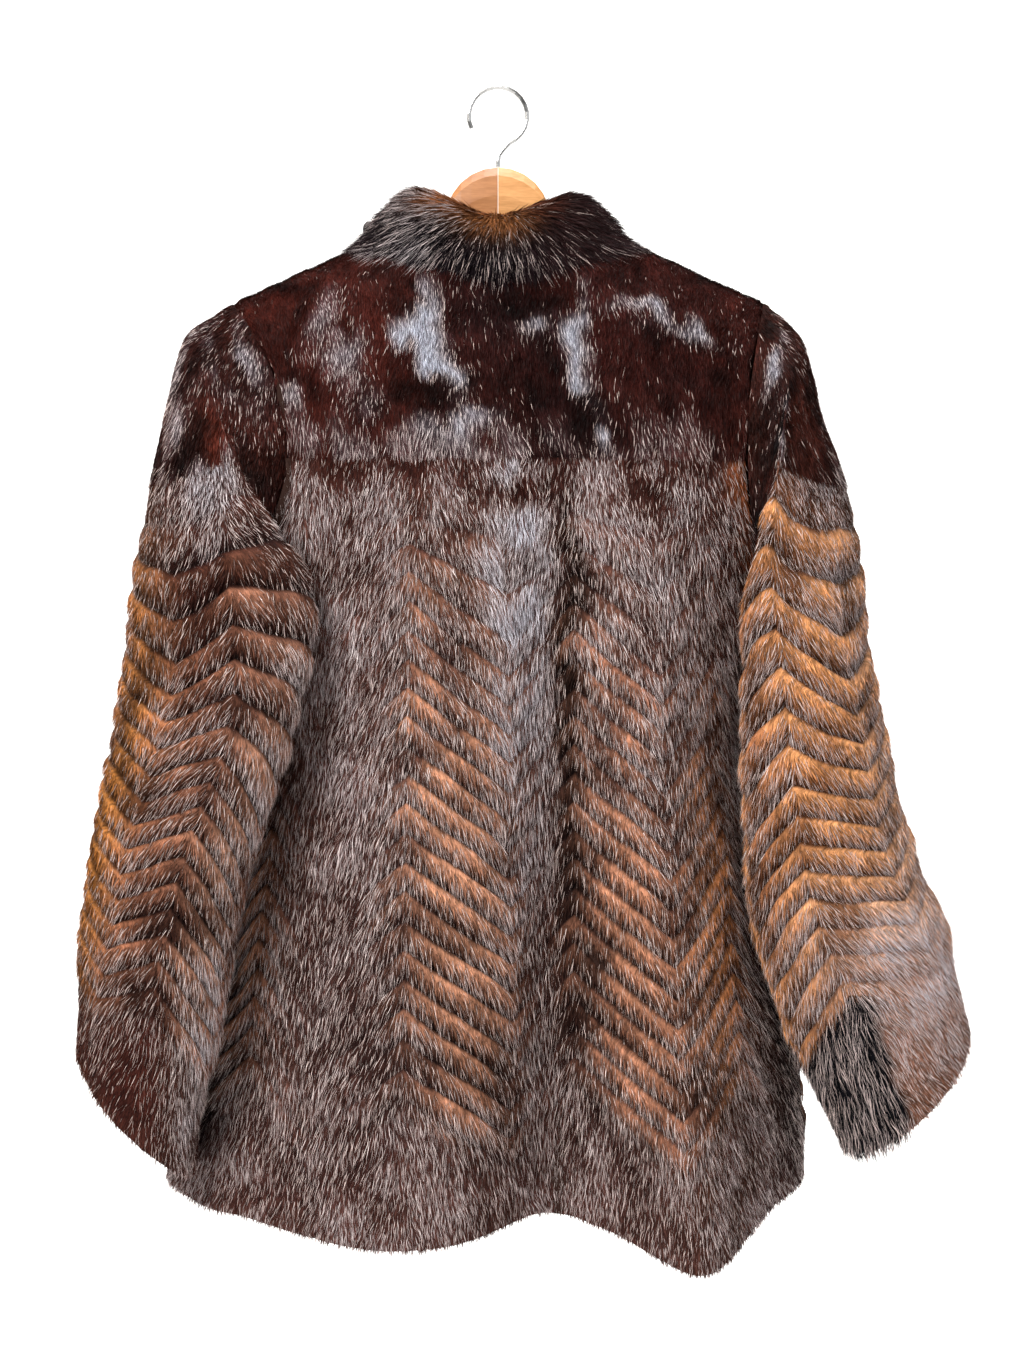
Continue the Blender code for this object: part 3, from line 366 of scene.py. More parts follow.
def sleeveColumns(hand, wide):
    # rings of the sleeve with wide columns to a station, and their places along its middle
    sign = sides[hand]
    count = body["stations"]
    stations = np.arange(count)
    around = stations * 2 * math.pi / count
    rings = [armholeLoop(hand)]
    for ring in sleeveRings[hand]:
        turn, rise, nod = (math.radians(a) for a in (ring.turn, ring.rise, ring.nod))
        out = np.array([sign * math.cos(turn), -math.sin(turn), 0])
        rear = np.array([-sign * math.sin(turn), -math.cos(turn), 0])
        across = ring.across * (out * math.cos(rise) + np.array([0, 0, math.sin(rise)]))
        depth = ring.depth * (rear * math.cos(nod) - np.array([0, 0, math.sin(nod)]))
        centre = np.array([ring.x, ring.y, ring.z])
        loop = centre + np.cos(around)[:, None] * across + np.sin(around)[:, None] * depth
        loop[:, 0] -= sign * ring.tuck * np.exp(-(((stations - sleeve["tuckStation"]) / sleeve["tuckWidth"]) ** 2))
        rings.append(loop)
    rings = np.stack(rings)
    knots = runLength(rings.mean(1))
    knots[1:] += sleeve["firstRingExtra"] * smooth(np.arange(1, len(knots)) / 2)
    return np.stack([roundTrip(ring, wide) for ring in rings]), knots


def roundTrip(loop, wide):
    # a closed loop of values read at more places
    lead = 3
    padded = np.concatenate([loop[-lead:], loop, loop[:lead + 1]])
    at = np.arange(len(loop) * wide) / wide + lead
    return through(np.arange(len(padded)), padded, at)


def sleevePoints(rings, knots, lengths):
    # points at their lengths along each column of the rings
    columns = [through(knots, rings[:, i], lengths[:, i], True) for i in range(rings.shape[1])]
    return np.stack(columns, 1)


def capSeam(hand):
    # length from the armhole to the cap's level seam, at each station
    rings, knots = sleeveColumns(hand, 1)
    places = 120  # at which the seam is looked for
    lengths = np.linspace(0, knots[-1], places)[:, None] * np.ones(body["stations"])
    heights = sleevePoints(rings, knots, lengths)[..., 2]
    crossing = np.array([lengths[np.argmax(column < sleeve["capZ"]), 0] for column in heights.T])
    seam = np.maximum(crossing, sleeve["capUnderarm"])
    for _ in range(sleeve["capSoften"]):
        seam = (np.roll(seam, 1) + 2 * seam + np.roll(seam, -1)) / 4
    return seam


# fur: each pelt is a shell with soft ribs, and its hair lies on it

fur = dict(
    below=0.0018,  # the pelt lies this far under the solids, whose surface the hair's tips reach
    wall=0.0040,  # leather and underfur
    ribRows=10, ribColumns=8,  # mesh rows to a rib, and columns to a half chevron
    ribHeight=0.0056, ribPeak=0.58, ribRound=0.9,  # a peak below 1 brings the crest near the groove above it
    crestAt=0.18, crestWide=0.40, grooveWide=0.08,  # parts of a rib
    lowShade=0.60, grooveShade=0.85,  # painted shade: how much darker its lower half and its groove are
    ribWander=0.12,  # part of a rib by which its crest strays
    broad=0.035, patch=0.016, fine=0.011,  # sizes of the unevenness
    swell=0.0016, grain=0.0010,  # height of the broad and of the fine unevenness
    skinHex="33231e",
)


def nearZone(across, down, zone, period):
    # 1 in the middle of a zone and 0 well outside it; a closed pelt's columns go round after their period
    far = across - zone[0]
    if period:
        far = np.mod(far + period / 2, period) - period / 2
    return np.exp(-(far / zone[2]) ** 2 - ((down - zone[1]) / zone[3]) ** 2)


def zoneSum(across, down, start, zones, period):
    # a value that starts the same all over, and comes near each zone's value in turn
    total = np.full(across.shape, float(start))
    for zone in zones:
        total = total + (zone[4] - total) * nearZone(across, down, zone, period)
    return total


def zoneColour(across, down, start, zones, period):
    colour = np.ones(across.shape + (3,)) * np.array(hexColour(start))
    for zone in zones:
        near = zone[4] * nearZone(across, down, zone, period)
        colour = colour + (np.array(hexColour(zone[5])) - colour) * near[..., None]
    return colour


def noiseField(points, size, seed):
    flat = points.reshape(-1, 3) / size + seed * 7.31
    return np.array([noise.noise(p) for p in flat]).reshape(points.shape[:-1])


def gridNormals(grid, closed):
    down = np.gradient(grid, axis=0)
    if closed:
        wide = np.roll(grid, -1, 1) - np.roll(grid, 1, 1)
    else:
        wide = np.gradient(grid, axis=1)
    return unit(np.cross(down, wide)), unit(down), unit(wide)


def ribShape(phase):
    # steep above, long below, as the strips lie
    return np.sin(math.pi * np.clip(phase, 0, 1) ** fur["ribPeak"]) ** fur["ribRound"]


def ribBands(phase):
    # crest just under the groove, paler underfur with a painted highlight; the rib's lower half and its groove,
    # darkened as painted shade
    top = fur["crestAt"]
    crest = np.where(phase < top, smooth(phase / top), np.exp(-((phase - top) / fur["crestWide"]) ** 2))
    low = smooth((phase - 0.5) / 0.45)
    groove = np.exp(-(np.minimum(phase, 1 - phase) / fur["grooveWide"]) ** 2)
    return crest, low, groove


def makePelt(name, grid, ribRow, column, fall, look, closed=False, flip=1, seed=1):
    # ribRow: each row's place in ribs; column: place across; fall: how far the ribs fall there
    rows, columns = grid.shape[:2]
    normal, down, wide = gridNormals(grid, closed)
    normal = normal * flip
    ribRow = ribRow[:, None] * np.ones(columns)
    column = column[None] * np.ones((rows, 1))
    period = look.get("period")
    broad = noiseField(grid, fur["broad"], seed)
    patch = noiseField(grid * (1, 1, 0.6), fur["patch"], seed + 9)
    fine = noiseField(grid, fur["fine"], seed + 5)

    # ribs, and an unevenness that has the same seeds in all pelts and so runs on across their seams
    phase = np.mod(ribRow + fur["ribWander"] * broad + 0.04 * patch, 1.0)
    begun = smooth((ribRow - 0.2 * look["start"]) / look["start"])
    ended = smooth((ribRow - look["ribs"] + 0.2) / 0.5)
    strength = zoneSum(column, ribRow, *look["relief"], period) * begun * (1 - ended)
    strength = np.clip(strength * (1 + 0.5 * broad), 0, 1.3)
    relief = fur["ribHeight"] * strength * ribShape(phase)
    relief = relief + fur["grain"] * noiseField(grid, fur["fine"], 6) + fur["swell"] * noiseField(grid, fur["broad"], 1)

    # colour: zones that sway and drift with the unevenness, some of them painted shade and highlight on the folds;
    # crests of paler underfur brightened by a painted highlight; painted shade on each rib's lower half and in its
    # groove; and mottling, random in tone and, where strong, painted light and shade on the ripples
    place = (column + look["sway"] * (0.25 * broad + 0.12 * patch), ribRow + look["drift"] * (1.6 * broad + patch))
    colour = zoneColour(*place, *look["colour"], period)
    crestColour = zoneColour(*place, *look["crest"], period)
    glow = np.clip(zoneSum(*place, *look["glow"], period) * (1 + 0.9 * broad + 0.5 * patch), 0, 1)
    crest, low, groove = (part * np.clip(strength, 0, 1) for part in ribBands(phase))
    crest = crest * glow
    colour = colour + (crestColour - colour) * crest[..., None]
    # random tone and, where strong, painted light and shade on the ripples
    toneAndRippleLight = np.clip(1 + look["mottleAndRippleLight"] * (0.35 * fine + 0.4 * broad + 0.2 * patch), 0.3, 1.9)
    colour = colour * ((1 - fur["lowShade"] * low) * (1 - fur["grooveShade"] * groove) * toneAndRippleLight)[..., None]

    # silver hair and painted glints, which come in patches; where they are thick a painted bluish sheen tints the pelt
    # under them
    glint = smooth(0.5 + (1 + 1.4 * look["patchy"]) * (patch + 0.6 * broad + 0.4 * fine))
    silver = zoneSum(*place, *look["silver"], period) * (1 - look["patchy"] * (1 - 2 * glint))
    silver = np.tanh(np.maximum(silver, 0) * (1 - 0.75 * crest))
    sheen = np.array(hexColour(look["sheenHex"]))
    colour = colour + (sheen - colour) * (look["sheen"] * silver**1.5)[..., None]

    # the hair's length, density and way: it leans off the ridge lines, and hangs where look["plumb"] says
    ending = smooth((ribRow - look["ribs"]) / body["bandRows"])
    shag = np.clip(1 + 0.25 * broad, 0.6, 1.4) * (1 - 0.35 * ending)
    shag = shag * np.where(ribRow >= 0, 0.7 + 0.3 * smooth(ribRow / 3), 1 + 0.6 * smooth(1 + ribRow / 1.2))
    thick = np.clip(1 - 0.5 * crest, 0.15, 1) * (1 - 0.3 * groove)
    lean = look["lean"] * np.sign(np.roll(fall, -1) - np.roll(fall, 1))[None] * np.clip(strength + 0.25, 0, 1)
    hang = np.array([0, 0, -1.0]) + normal * normal[..., 2:]  # straight down along the surface
    comb = unit(down + (hang - down) * look["plumb"] + wide * (lean + 0.5 * fine + 0.3 * patch)[..., None])

    lift = relief - fur["below"]
    inset = look.get("inset")
    if inset:
        past = share(ribRow, inset["top"], inset["low"])
        first = inset["first"] + inset["widens"] * past
        inside = smooth((ribRow - inset["top"]) / 0.12) * smooth((column - first) / 0.08) * (column < inset["last"])
        black = np.array(hexColour(inset["hex"]))
        colour = colour + (black - colour) * inside[..., None]
        silver = silver + (inset["silver"] * (1 + patch) - silver) * inside
        shag = shag + (inset["shag"] - shag) * inside
        lift = lift + inset["rise"] * inside
    data = dict(pelt=withAlpha(colour), silver=np.clip(silver, 0, 1), comb=comb, shag=shag, thick=thick)
    return shellMesh(name, grid + normal * lift[..., None], normal, data, closed, flip)


def withAlpha(colour):
    return np.dstack([np.clip(colour, 0, 1), np.ones(colour.shape[:2])])


def addLayers(bm):
    # what a pelt's points carry: colour with its painted shade and sheen, silver hair with painted glints, the hair's
    # way, length and density, and a place for patterns
    points = bm.verts.layers
    kinds = dict(pelt=points.float_color, silver=points.float, comb=points.float_vector, shag=points.float,
                 thick=points.float)
    return {key: kind.new(key) for key, kind in kinds.items()}, bm.loops.layers.uv.new("furUV")


def addPoints(bm, layers, grid, data):
    # rows of points, each with its share of the data
    rows = [[bm.verts.new(p) for p in line] for line in grid]
    for key, values in data.items():
        for line, row in zip(values, rows):
            for value, point in zip(line, row):
                point[layers[key]] = tuple(value) if np.ndim(value) else float(value)
    return rows


def shellMesh(name, outer, normal, data, closed, flip):
    # a closed wall of pelt: the fine outside, a coarser inside, and the rims between them
    rows, columns = outer.shape[:2]
    stepR, stepC = fur["ribRows"] // 2, fur["ribColumns"] // 2
    rowKeep = sorted({*range(0, rows, stepR), rows - 1})
    colKeep = list(range(0, columns, stepC))
    if not closed and colKeep[-1] != columns - 1:
        colKeep.append(columns - 1)
    inner = (outer - normal * fur["wall"])[np.ix_(rowKeep, colKeep)]
    bm = bmesh.new()
    layers, uv = addLayers(bm)
    out = addPoints(bm, layers, outer, data)
    skin = np.ones(inner.shape) * hexColour(fur["skinHex"])
    back = addPoints(bm, layers, inner, dict(pelt=withAlpha(skin)))
    along, across = runLength(outer), runLength(outer.swapaxes(0, 1)).T
    across = across - across.mean(1, keepdims=True)
    turn = across[:, -1] - across[:, 0] + np.linalg.norm(outer[:, 0] - outer[:, -1], axis=1)
    order = (0, 1, 2, 3) if flip > 0 else (3, 2, 1, 0)
    for r in range(rows - 1):
        for c in range(columns if closed else columns - 1):
            d = (c + 1) % columns
            corners = [(r, c), (r + 1, c), (r + 1, d), (r, d)]
            face = bm.faces.new([out[corners[k][0]][corners[k][1]] for k in order])
            face.smooth = True
            for loop, k in zip(face.loops, order):
                row, col = corners[k]
                extra = turn[row] if d == 0 and k in (2, 3) else 0.0  # past the last column of a closed pelt
                loop[uv].uv = (across[row, col] + extra, along[row, col])
    count = len(colKeep)
    spans = [(c, (c + 1) % count) for c in range(count if closed else count - 1)]
    for here, after in zip(back, back[1:]):
        for c, d in spans:
            quad = [here[c], here[d], after[d], after[c]]
            bm.faces.new(quad if flip > 0 else quad[::-1]).smooth = True
    for row in (0, -1):
        for c, d in spans:
            stop = colKeep[d] if d else columns
            run = [out[row][k % columns] for k in range(colKeep[c], stop + 1)]
            poly = run + [back[row][d], back[row][c]]
            bm.faces.new(poly if (flip > 0) == (row == 0) else poly[::-1])
    if not closed:
        for column in (0, -1):
            for r in range(len(rowKeep) - 1):
                run = [out[k][column] for k in range(rowKeep[r], rowKeep[r + 1] + 1)]
                poly = run + [back[r + 1][column], back[r][column]]
                bm.faces.new(poly[::-1] if (flip > 0) == (column == 0) else poly)
    bmesh.ops.recalc_face_normals(bm, faces=bm.faces)
    return addPiece(name, bm)


# materials

def newMaterial(name):
    material = bpy.data.materials.new(name)
    material.use_nodes = True
    tree = material.node_tree
    return material, tree, tree.nodes["Principled BSDF"]


def paint(code):
    return (*hexColour(code), 1)


def makeUnderfur():
    # mink underfur: dense, soft and matt, in fine tufts that lie down the pelt
    material, tree, shader = newMaterial("mink_underfur")
    pelt = addNode(tree, "ShaderNodeAttribute", dict(attribute_name="pelt"))
    place = addNode(tree, "ShaderNodeUVMap", dict(uv_map="furUV"))
    strands = addNode(tree, "ShaderNodeMapping", Vector=place.outputs[0], Scale=(900, 110, 1))  # 1.1 mm by 9 mm
    streak = addNode(tree, "ShaderNodeTexNoise", Vector=strands.outputs[0], Scale=1.0, Detail=3.0, Roughness=0.6)
    tufts = addNode(tree, "ShaderNodeMapping", Vector=place.outputs[0], Scale=(210, 90, 1))  # 5 mm by 11 mm
    patch = addNode(tree, "ShaderNodeTexNoise", Vector=tufts.outputs[0], Scale=1.0, Detail=2.0, Roughness=0.5)
    both = addNode(tree, "ShaderNodeMath", dict(operation="MULTIPLY"), i0=streak.outputs["Fac"],
                   i1=patch.outputs["Fac"])
    shade = addNode(tree, "ShaderNodeMapRange", Value=both.outputs[0], From_Min=0.12, From_Max=0.42,
                    To_Min=0.25, To_Max=1.45)
    colour = addNode(tree, "ShaderNodeVectorMath", dict(operation="SCALE"), i0=pelt.outputs["Color"],
                     Scale=shade.outputs[0])
    bump = addNode(tree, "ShaderNodeBump", Strength=0.8, Distance=0.0018, Height=streak.outputs["Fac"])
    setSockets(shader, Base_Color=colour.outputs[0], Normal=bump.outputs[0], Roughness=0.62, Specular_IOR_Level=0.03)
    return material


def makeHairMaterial(name, silverGlintLayer):
    # mink hair: straight, darker at its root, as dark as the pelt under it, or glossy silver, brightened as painted
    # glints, where the sheen shows
    material, tree, shader = newMaterial(name)
    kinds = ("shade", "along", "silver" if silverGlintLayer else "pelt")
    shade, along, own = (addNode(tree, "ShaderNodeAttribute", dict(attribute_name=kind)) for kind in kinds)
    base = own.outputs["Color"]
    if silverGlintLayer:  # from warm silver to a painted cool reflection where the glints are thick
        base = addNode(tree, "ShaderNodeMix", dict(data_type="RGBA"), i0=own.outputs["Fac"], i6=paint("e6cbc0"),
                       i7=paint("d8dff0")).outputs[2]
    least, most = (0.6, 1.0) if silverGlintLayer else (0.3, 1.5)
    each = addNode(tree, "ShaderNodeMapRange", Value=shade.outputs["Fac"], To_Min=least, To_Max=most)
    root = addNode(tree, "ShaderNodeMapRange", Value=along.outputs["Fac"], From_Max=0.4, To_Min=0.3)
    both = addNode(tree, "ShaderNodeMath", dict(operation="MULTIPLY"), i0=each.outputs[0], i1=root.outputs[0])
    colour = addNode(tree, "ShaderNodeVectorMath", dict(operation="SCALE"), i0=base, Scale=both.outputs[0])
    setSockets(shader, Base_Color=colour.outputs[0], Roughness=0.35 if silverGlintLayer else 0.5,
               Specular_IOR_Level=0.6 if silverGlintLayer else 0.05)
    return material


underfur = makeUnderfur()
guardHair = makeHairMaterial("mink_guard_hair", False)
silverGlintHair = makeHairMaterial("mink_silver_glint_hair", True)
print("fur materials ready")


# hair: one narrow blade, spread over a pelt along its comb

hairSpread = dict(  # least and most, as part of a look's value; shade, stray and roll (radians) are plain numbers
    shade=(0.0, 1.0), lift=(0.4, 1.6), strayX=(-1.0, 1.0), strayY=(-1.0, 1.0), strayZ=(-1.0, 1.0),
    roll=(-1.2, 1.2), length=(0.7, 1.25), width=(0.7, 1.3),
)
silverGlintLook = dict(hairs=1200000, hairLength=0.0100, hairWidth=0.00038, lift=0.18, stray=0.22)  # hairs to a square metre


def makeBlade():
    bm = bmesh.new()
    along = bm.verts.layers.float.new("along")
    corners = []
    for x, y, z in ((-0.5, 0, 0), (0.5, 0, 0), (0, 0.04, 1.0)):
        v = bm.verts.new((x, y, z))
        v[along] = z
        corners.append(v)
    bm.faces.new(corners)
    return addPiece("blade", bm)


def makeHairTree(blade):
    tree = bpy.data.node_groups.new("guardHairTree", "GeometryNodeTree")
    face = tree.interface
    face.new_socket("Geometry", in_out="INPUT", socket_type="NodeSocketGeometry")
    for name in ("Per square metre", "Hair length", "Hair width", "Lift", "Stray", "Silvered"):
        face.new_socket(name, in_out="INPUT", socket_type="NodeSocketFloat")
    face.new_socket("Seed", in_out="INPUT", socket_type="NodeSocketInt")
    face.new_socket("Material", in_out="INPUT", socket_type="NodeSocketMaterial")
    face.new_socket("Geometry", in_out="OUTPUT", socket_type="NodeSocketGeometry")
    given = addNode(tree, "NodeGroupInput").outputs

    of = {}  # what the pelt's points carry
    for name in ("thick", "silver", "shag", "comb"):
        kind = "FLOAT_VECTOR" if name == "comb" else "FLOAT"
        of[name] = addNode(tree, "GeometryNodeInputNamedAttribute", dict(data_type=kind), Name=name).outputs[0]
    chance = {}  # each with a seed of its own
    for shift, (name, (least, most)) in enumerate(hairSpread.items(), 11):
        seed = addNode(tree, "ShaderNodeMath", dict(operation="ADD"), i0=given["Seed"], i1=float(shift))
        chance[name] = addNode(tree, "FunctionNodeRandomValue", dict(data_type="FLOAT"), i2=least, i3=most,
                               Seed=seed.outputs[0]).outputs[1]
    part = {}  # a look's value, times its chance or what the pelt says
    factors = (("lift", given["Lift"], chance["lift"]), ("shag", given["Hair length"], of["shag"]),
               ("width", given["Hair width"], chance["width"]))
    for name, a, b in factors:
        part[name] = addNode(tree, "ShaderNodeMath", dict(operation="MULTIPLY"), i0=a, i1=b).outputs[0]
    length = addNode(tree, "ShaderNodeMath", dict(operation="MULTIPLY"), i0=part["shag"], i1=chance["length"])

    chosen = addNode(tree, "ShaderNodeMix", dict(data_type="FLOAT"), i0=given["Silvered"], i2=of["thick"],
                     i3=of["silver"])
    density = addNode(tree, "ShaderNodeMath", dict(operation="MULTIPLY"), i0=chosen.outputs[0],
                      i1=given["Per square metre"])
    points = addNode(tree, "GeometryNodeDistributePointsOnFaces", Mesh=given["Geometry"], Density=density.outputs[0],
                     Seed=given["Seed"])
    shaded = addNode(tree, "GeometryNodeStoreNamedAttribute", dict(data_type="FLOAT", domain="POINT"),
                     Geometry=points.outputs["Points"], Name="shade", Value=chance["shade"])
    # the way of a hair: along the comb, lifted off the pelt, and a little astray
    flat = addNode(tree, "ShaderNodeMath", dict(operation="COSINE"), i0=part["lift"])
    steep = addNode(tree, "ShaderNodeMath", dict(operation="SINE"), i0=part["lift"])
    stray = addNode(tree, "ShaderNodeCombineXYZ", X=chance["strayX"], Y=chance["strayY"], Z=chance["strayZ"])
    ways = ((of["comb"], flat.outputs[0]), (points.outputs["Normal"], steep.outputs[0]),
            (stray.outputs[0], given["Stray"]))
    ways = [addNode(tree, "ShaderNodeVectorMath", dict(operation="SCALE"), i0=way, Scale=much).outputs[0]
            for way, much in ways]
    way = addNode(tree, "ShaderNodeVectorMath", dict(operation="ADD"), i0=ways[0], i1=ways[1])
    way = addNode(tree, "ShaderNodeVectorMath", dict(operation="ADD"), i0=way.outputs[0], i1=ways[2])
    aim = addNode(tree, "FunctionNodeAlignRotationToVector", dict(axis="Z"), Vector=way.outputs[0])
    faced = addNode(tree, "FunctionNodeAlignRotationToVector", dict(axis="Y", pivot_axis="Z"),
                    Rotation=aim.outputs[0], Vector=points.outputs["Normal"])
    roll = addNode(tree, "FunctionNodeAxisAngleToRotation", Axis=(0, 0, 1), Angle=chance["roll"])
    turned = addNode(tree, "FunctionNodeRotateRotation", dict(rotation_space="LOCAL"), Rotation=faced.outputs[0],
                     Rotate_By=roll.outputs[0])
    size = addNode(tree, "ShaderNodeCombineXYZ", X=part["width"], Y=length.outputs[0], Z=length.outputs[0])
    shape = addNode(tree, "GeometryNodeObjectInfo", Object=blade)
    hairs = addNode(tree, "GeometryNodeInstanceOnPoints", Points=shaded.outputs[0], Instance=shape.outputs["Geometry"],
                    Rotation=turned.outputs[0], Scale=size.outputs[0])
    real = addNode(tree, "GeometryNodeRealizeInstances", Geometry=hairs.outputs[0])
    coated = addNode(tree, "GeometryNodeSetMaterial", Geometry=real.outputs[0], Material=given["Material"])
    addNode(tree, "NodeGroupOutput", i0=coated.outputs[0])
    return tree


blade = makeBlade()
hairTree = makeHairTree(blade)
print("hair tree ready")


def growHair(name, pelt, look, silverGlintLayer=False):
    # the hair of one pelt as a plain mesh of its own
    host = addObject(name + "_host", pelt.data)
    modifier = host.modifiers.new("hair", "NODES")
    modifier.node_group = hairTree
    values = {"Per square metre": look["hairs"], "Hair length": look["hairLength"], "Hair width": look["hairWidth"],
              "Lift": look["lift"], "Stray": look["stray"], "Seed": look["seed"], "Silvered": float(silverGlintLayer),
              "Material": silverGlintHair if silverGlintLayer else guardHair}
    for item in hairTree.interface.items_tree:
        if item.in_out == "INPUT" and item.name in values:
            modifier[item.identifier] = values[item.name]
    graph = bpy.context.evaluated_depsgraph_get()
    graph.update()
    mesh = bpy.data.meshes.new_from_object(host.evaluated_get(graph), depsgraph=graph)
    bpy.data.objects.remove(host)
    mesh.name = name
    for extra in ("comb", "shag", "thick", "furUV"):
        if extra in mesh.attributes:
            mesh.attributes.remove(mesh.attributes[extra])
    print(name, len(mesh.polygons), "faces")
    return addObject(name, mesh)


def growCoat(part, pelt, look):
    # both kinds of hair on one pelt
    silver = dict(silverGlintLook, seed=look["seed"] + 40, hairs=silverGlintLook["hairs"] * look["silverGlintShare"])
    silver["hairLength"] *= look["hairLength"] / plain["hairLength"]
    hairs = [growHair(part + "_hair", pelt, look), growHair(part + "_silver", pelt, silver, True)]
    pelt.data.materials.append(underfur)
    for piece in (pelt, *hairs):
        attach(piece, "root")
    print(pelt.name, len(pelt.data.polygons), "faces")
    return hairs


def dressPelt(part, pelt, look, node):
    hairs = growCoat(part, pelt, look)
    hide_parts(node)


# looks of the pelts. A zone is its column and rib, its width and height in them, and its value, or its share and
# colour; ribs below 0 are the smooth part above a seam. Each list of zones comes after the value it changes.

plain = dict(
    hairLength=0.0075, hairWidth=0.00070, lift=0.15, stray=0.15,  # lift in radians off the pelt
    lean=0.40, plumb=0.0,  # how far the hair leans off the ridge lines, and hangs straight down
    silverGlintShare=1.0, patchy=0.35,  # amount of silver hair and painted glints, and how far they come and go
    sway=1.0, drift=0.8,  # how far the zones' edges wander across and down
    start=3.0,  # ribs over which the relief builds up
    # the mottle is random tone and, where strong, painted light and shade on ripples; the sheen is a painted bluish
    # sheen over the glints
    mottleAndRippleLight=1.0, sheen=0.25, sheenHex="8c8287",
)
backLook = dict(
    plain, seed=3, hairs=520000, ribs=22, drift=1.5,
    relief=(0.34, ((3.5, 14, 0.55, 13, 1.3), (5.55, 15, 0.50, 11, 1.15), (4.4, 7, 0.4, 4, 0.6), (4.5, 15, 0.3, 9, 0.3),
                   (2.2, 13, 0.5, 10, 0.12), (0.6, 16, 0.7, 8, 1.1), (6.8, 17, 0.45, 7, 0.9), (7.8, 18, 0.3, 9, 0.2))),
    # painted shadow: the zones at columns 2.85, 4.86 and 5.0 darken the back's folds, and the one at column 7.8, rib 19
    # darkens the gap beside the right sleeve
    colour=("4b2b24", ((3.5, 13, 0.7, 11, 0.7, "5a3a31"), (5.5, 13, 0.6, 10, 0.6, "452c26"),
                       (2.2, 12, 0.6, 10, 0.6, "492e29"), (0.5, 15, 0.6, 8, 0.7, "5a3b32"),
                       (4.0, 18, 9, 5, 0.65, "2a1715"), (6.6, 16, 0.6, 8, 0.8, "63402f"),
                       (2.85, 12, 0.12, 12, 0.5, "2a1b1a"), (4.86, 9, 0.24, 13, 0.85, "170d0b"),
                       (5.0, 4, 0.15, 13, 0.95, "080403"), (7.8, 19, 0.35, 8, 0.95, "150c0f"),
                       (4.0, -1, 9, 2.6, 0.9, "3a1b15"), (7.85, 0.8, 0.35, 1.0, 0.9, "8a4c2c"),
                       (4.0, 24, 9, 1.4, 0.5, "452a24"))),
    crest=("96654f", ((3.5, 12, 0.8, 12, 0.9, "c58c6d"), (5.6, 15, 0.6, 9, 0.8, "b07a5e"),
                      (6.8, 16, 0.5, 7, 0.9, "cc8450"), (0.5, 16, 0.8, 8, 0.9, "b07a5c"))),
    glow=(0.14, ((3.5, 14, 0.55, 12, 1.1), (5.55, 15, 0.47, 10, 1.1), (6.7, 16.5, 0.5, 8, 1.2),
                 (0.5, 16, 0.7, 7, 1.1))),
    # the zones at columns 4.3 and 4.25 are a painted highlight on the lit side of a fold; those at 4.92 and 7.8 keep
    # the glints out of the painted shadows
    silver=(0.25, ((3.5, 14, 0.5, 12, 0.18), (4.3, 4, 0.5, 7, 0.80), (4.25, 12, 0.4, 6, 0.42), (2.3, 12, 0.8, 9, 0.24),
                   (4.0, -0.6, 9, 1.5, 0.05), (4.0, 18, 1.6, 4, 0.16), (5.6, 17, 1.1, 5, 0.06), (2.0, 18, 1.0, 4, 0.14),
                   (5.6, 6, 1.0, 5, 0.28), (4.92, 8, 0.24, 15, 0.02), (7.8, 19, 0.4, 8, 0.05),
                   (7.85, 0.8, 0.4, 1.2, 0.1), (0.8, 4, 0.8, 4, 0.20), (6.4, 15, 0.8, 7, 0.16),
                   (1.2, 13, 0.8, 5, 0.16), (0.3, 15, 0.5, 5, 0.36), (4.0, 23, 9, 2.5, 0.17))),
)
yokeLook = dict(
    plain, seed=4, hairs=1300000, ribs=22, hairLength=0.0050, hairWidth=0.00055, lean=0.0, patchy=0.9, drift=0.9,
    # painted light: strong ripple light and shade in the colour, and a strong painted bluish sheen over the glints
    sway=1.9, sheen=0.85, sheenHex="9796a2", mottleAndRippleLight=2.4,
    relief=(0.0, ()),
    colour=("34130e", ((1.6, -3, 1.3, 4, 0.6, "451b14"), (5.6, -3, 1.2, 4, 0.6, "280d0b"),
                       (3.9, -4.5, 0.6, 3, 0.8, "150708"), (4.0, 0.6, 9, 1.2, 0.6, "3c1d17"),
                       (2.95, -4, 0.045, 2.6, 0.95, "0a0404"), (0.9, -2.4, 0.07, 1.2, 0.85, "0f0606"),
                       (4.6, -1.6, 0.4, 2.0, 0.6, "180c0d"), (6.8, -1.4, 0.8, 0.9, 0.6, "200a09"))),
    crest=("7a5648", ()),
    glow=(0.0, ()),
    # the silver zones are mostly painted highlight, the sheen on the yoke's soft folds
    silver=(0.008, ((3.24, -3.0, 0.15, 1.8, 1.4), (3.30, -1.4, 0.14, 1.0, 1.1), (3.6, -0.7, 0.32, 0.5, 0.6),
                   (5.2, -3.2, 0.13, 1.4, 1.0), (5.1, -1.6, 0.14, 1.3, 0.9), (6.5, -3.2, 0.6, 0.25, 0.55),
                   (1.7, -3.4, 0.35, 0.9, 0.20), (2.1, -2.0, 0.3, 0.8, 0.30), (4.45, -4.3, 0.2, 0.7, 0.6),
                   (3.2, 0.4, 5.0, 0.8, 0.15), (0.9, -1.4, 0.5, 0.8, 0.24), (3.9, -4.8, 0.35, 2.0, 0.02))),
)
frontLook = dict(
    backLook, hairs=240000, hairWidth=0.0013, hairLength=0.0105, silverGlintShare=0.4,
    relief=(0.7, ((2.0, 12, 3, 12, 0.9),)),
    colour=("4b332c", ((2.0, -4, 9, 4.5, 0.95, "34130e"),)),
    crest=("a87a5d", ()),
    glow=(0.45, ()),
    silver=(0.20, ((2.0, -4, 9, 4.5, 0.02),)),
)
